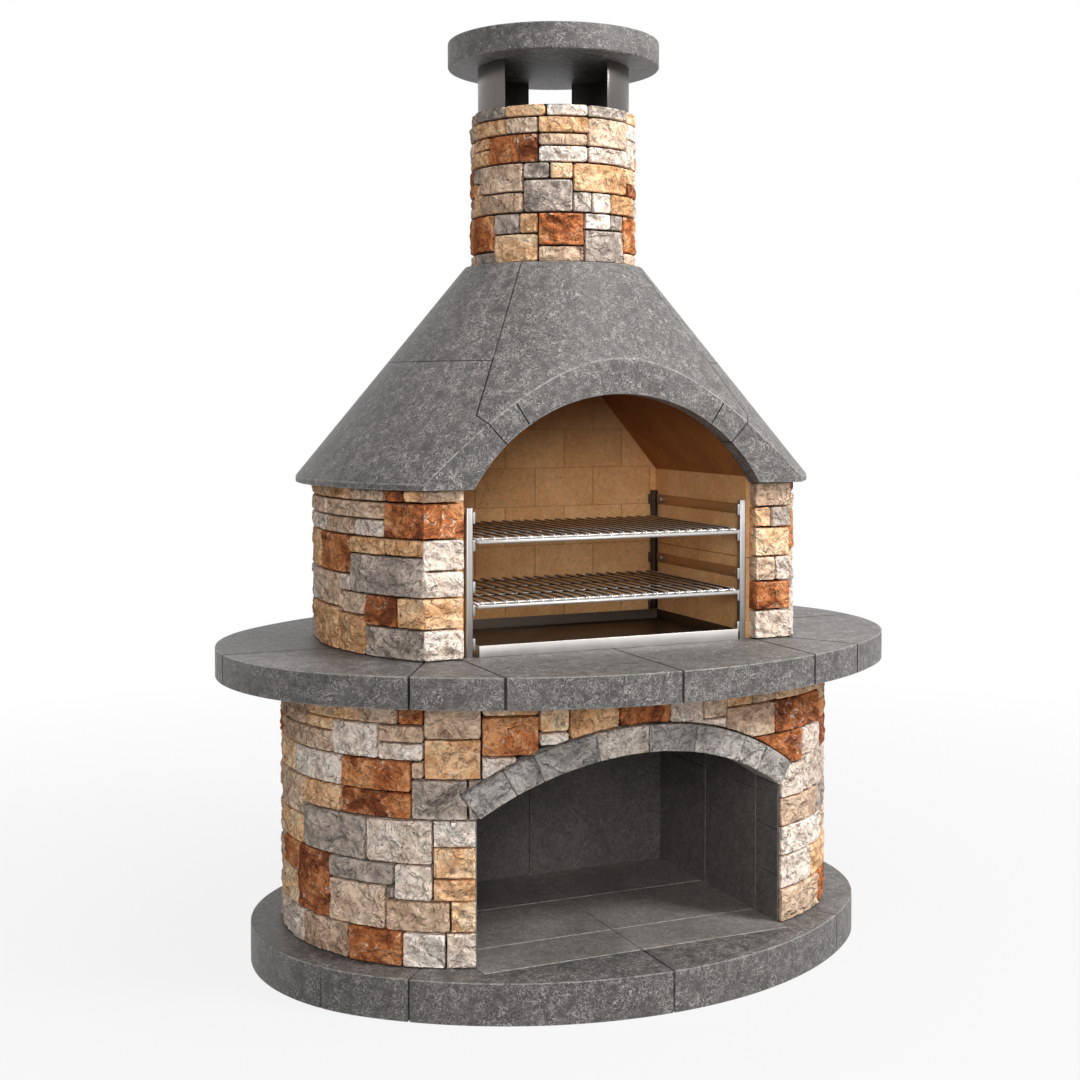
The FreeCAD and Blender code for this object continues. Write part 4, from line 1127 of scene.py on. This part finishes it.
@dataclass
class GrillSet:
    """Stainless rack, grids, ash tray and cap supports."""

    edge: float = 0.0005
    sharp_edge: float = 40.0
    crease: float = 35.0
    bright_rim: float = 0.002
    slot: str = "steel"

    def build(self) -> None:
        """Dress the steel pieces."""
        low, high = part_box("rack_uprights")
        # The uprights are darker behind their middle.
        upright = STEEL.material((low.y + high.y) / 2)
        grid = GRID_STEEL.material(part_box("upper_grid")[0].y)
        finishes = {
            **dict.fromkeys(("rack_uprights", "rack_clips", "rack_lugs"), upright),
            "rack_rails": RAIL_STEEL.material(),
            "rack_bolts": BAR_STEEL.material(),
            "cap_supports": ROLLED_STEEL.material(),
            **dict.fromkeys(("upper_grid", "lower_grid"), grid),
            "ash_tray": SHEET_STEEL.material(),
        }
        bodies = {body.value.removesuffix("_body"): body for body in Body}
        for node, material in finishes.items():
            round_bars = node.endswith("grid")
            mesh = copy_node(node, flat=not round_bars)
            if not round_bars:
                soften(mesh, self.edge, 2, self.sharp_edge)
            body = bodies.get(node, Body.MASONRY)
            piece = store(node + "_steel", mesh, material, self.slot, [node], self.crease, body)
            if node == "ash_tray":
                self.shade_inside(piece)

    def shade_inside(self, tray: bpy.types.Object) -> None:
        """Give the inside of the ash tray its painted shade.

        Args:
            tray: The ash tray.
        """
        tray.data.materials.append(SHADED_TRAY_STEEL.material())
        low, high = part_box("ash_tray")
        middle = (low + high) / 2
        # Painted shade: the inner walls and the floor below the bright rim take the darker steel.
        for face in tray.data.polygons:
            inwards = middle - face.center
            inwards.z = 0.0
            inner_wall = abs(face.normal.z) < 0.5 and face.normal.dot(inwards) > 0.0
            floor = face.normal.z > 0.9 and face.center.z < high.z - self.bright_rim
            face.material_index = int(inner_wall or floor)


@dataclass
class Cores:
    """Rough cores of the walls and the flue, seen only in the joints."""

    nodes: tuple[str, ...] = ("wall_core", "body_core", "flue_ring")

    def build(self) -> None:
        """Give the cores their mortar."""
        material = CORE.material()
        for name in self.nodes:
            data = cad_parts[name].data
            data.materials.clear()
            data.materials.append(material)
            LOG.info("%s: mortar", name)


@dataclass(frozen=True)
class Lamp:
    """Soft square lamp: where it hangs, what it looks at, its side in metres and its power in watts."""

    name: str
    place: Triple
    target: Triple
    size: float
    power: float

    def hang(self) -> None:
        """Add the lamp to the scene."""
        data = bpy.data.lights.new(self.name, "AREA")
        data.size, data.energy = self.size, self.power
        lamp = bpy.data.objects.new(self.name, data)
        lamp.location = self.place
        lamp.rotation_euler = (Vector(self.target) - Vector(self.place)).to_track_quat("-Z", "Y").to_euler()
        bpy.context.scene.collection.objects.link(lamp)


LAMPS = (
    Lamp("overhead", (0.9, -1.8, 5.2), (0.0, 0.0, 1.0), 2.2, 95.0),
    Lamp("key", (3.3, -3.5, 4.1), (0.0, 0.0, 1.1), 1.4, 250.0),
    Lamp("fill", (-2.2, -4.8, 2.2), (0.0, 0.0, 0.5), 1.4, 92.0),
)


@dataclass
class Studio:
    """Pale floor, soft light and the camera."""

    camera_place: Triple = (-1.7209, -3.7448, 1.3623)
    heading: float = 23.990
    pitch: float = -1.643
    lens: float = 54.387
    shift_up: float = -0.09
    floor_half: float = 30.0
    floor_grey: float = 0.45
    shadow_near: float = 1.0
    shadow_far: float = 4.0
    near_glow: float = 0.86
    ambient: float = 0.29

    def build(self) -> None:
        """Set up the stage."""
        self.build_camera()
        self.build_floor()
        self.build_world()
        for lamp in LAMPS:
            lamp.hang()

    def build_camera(self) -> None:
        """Place the camera where the photograph was taken."""
        data = bpy.data.cameras.new("photo_camera")
        data.lens = self.lens
        data.shift_y = self.shift_up
        camera = bpy.data.objects.new("photo_camera", data)
        camera.location = self.camera_place
        camera.rotation_euler = (math.radians(90.0 + self.pitch), 0.0, math.radians(-self.heading))
        bpy.context.scene.collection.objects.link(camera)
        bpy.context.scene.camera = camera

    def build_floor(self) -> None:
        """Lay a pale floor that keeps the object's shadow."""
        mesh = bmesh.new()
        bmesh.ops.create_grid(mesh, x_segments=1, y_segments=1, size=self.floor_half)
        data = bpy.data.meshes.new("floor")
        mesh.to_mesh(data)
        mesh.free()
        floor = bpy.data.objects.new("floor", data)
        bpy.context.scene.collection.objects.link(floor)
        data.materials.append(self.floor_material())

    def floor_material(self) -> Material:
        """Build the floor's finish: matt grey with a white glow that is weaker near the object.

        Returns:
            Material for the floor.
        """
        material = bpy.data.materials.new("pale_floor")
        material.use_nodes = True
        material.node_tree.nodes.clear()
        kit = NodeKit(material.node_tree)
        matt = kit.add("ShaderNodeBsdfDiffuse", {"Color": (self.floor_grey,) * 3 + (1.0,)}).outputs[0]
        glow = kit.add("ShaderNodeEmission").outputs[0]
        place = kit.add("ShaderNodeTexCoord").outputs["Object"]
        away = kit.add("ShaderNodeVectorMath", {0: place}, operation="LENGTH").outputs["Value"]
        limits = {"From Min": self.shadow_near, "From Max": self.shadow_far, "To Min": self.near_glow}
        fade = kit.add("ShaderNodeMapRange", {"Value": away, **limits, "To Max": 1.0}).outputs["Result"]
        kit.blend("ShaderNodeOutputMaterial", kit.times(kit.shown(), fade), matt, glow)
        return material

    def build_world(self) -> None:
        """Surround the object with even light and a white background."""
        world = bpy.data.worlds.new("studio")
        bpy.context.scene.world = world
        world.use_nodes = True
        world.node_tree.nodes.clear()
        kit = NodeKit(world.node_tree)
        light, white = (kit.add("ShaderNodeBackground", {"Color": (1.0,) * 4, "Strength": strength}).outputs[0]
                        for strength in (self.ambient, 1.0))
        kit.blend("ShaderNodeOutputWorld", kit.shown(), light, white)


def main() -> None:
    """Build the stage and every sub-assembly in order."""
    logging.basicConfig(level=logging.INFO, format="%(name)s: %(message)s")
    bpy.context.scene.view_settings.view_transform = "Standard"
    arch = [StoneKind.ARCH_GREY, StoneKind.ARCH_BEIGE]
    wall = [kind for kind in StoneKind if kind not in arch]
    assemblies = [
        Studio(),
        Cores(),
        Cladding("wall", Facing.OVAL, wall, 11),
        Cladding("body", Facing.BODY, wall, 23),
        Cladding("chimney", Facing.FLUE, wall, 37, scoop=0.026, scoop_depth=0.019),
        Cladding("arch", Facing.ARCH, arch, 41, cell=0.007, margin=0.0036, corner=0.002, edge_drop=0.0022,
                 edge_width=0.0034, chip=0.0008, scoop_depth=0.0065, nick_depth=0.0035, swell=0.0016),
        Slabs(),
        WoodStore(),
        Firebox(),
        GrillSet(),
    ]
    for assembly in assemblies:
        assembly.build()


if __name__ == "__main__":
    main()
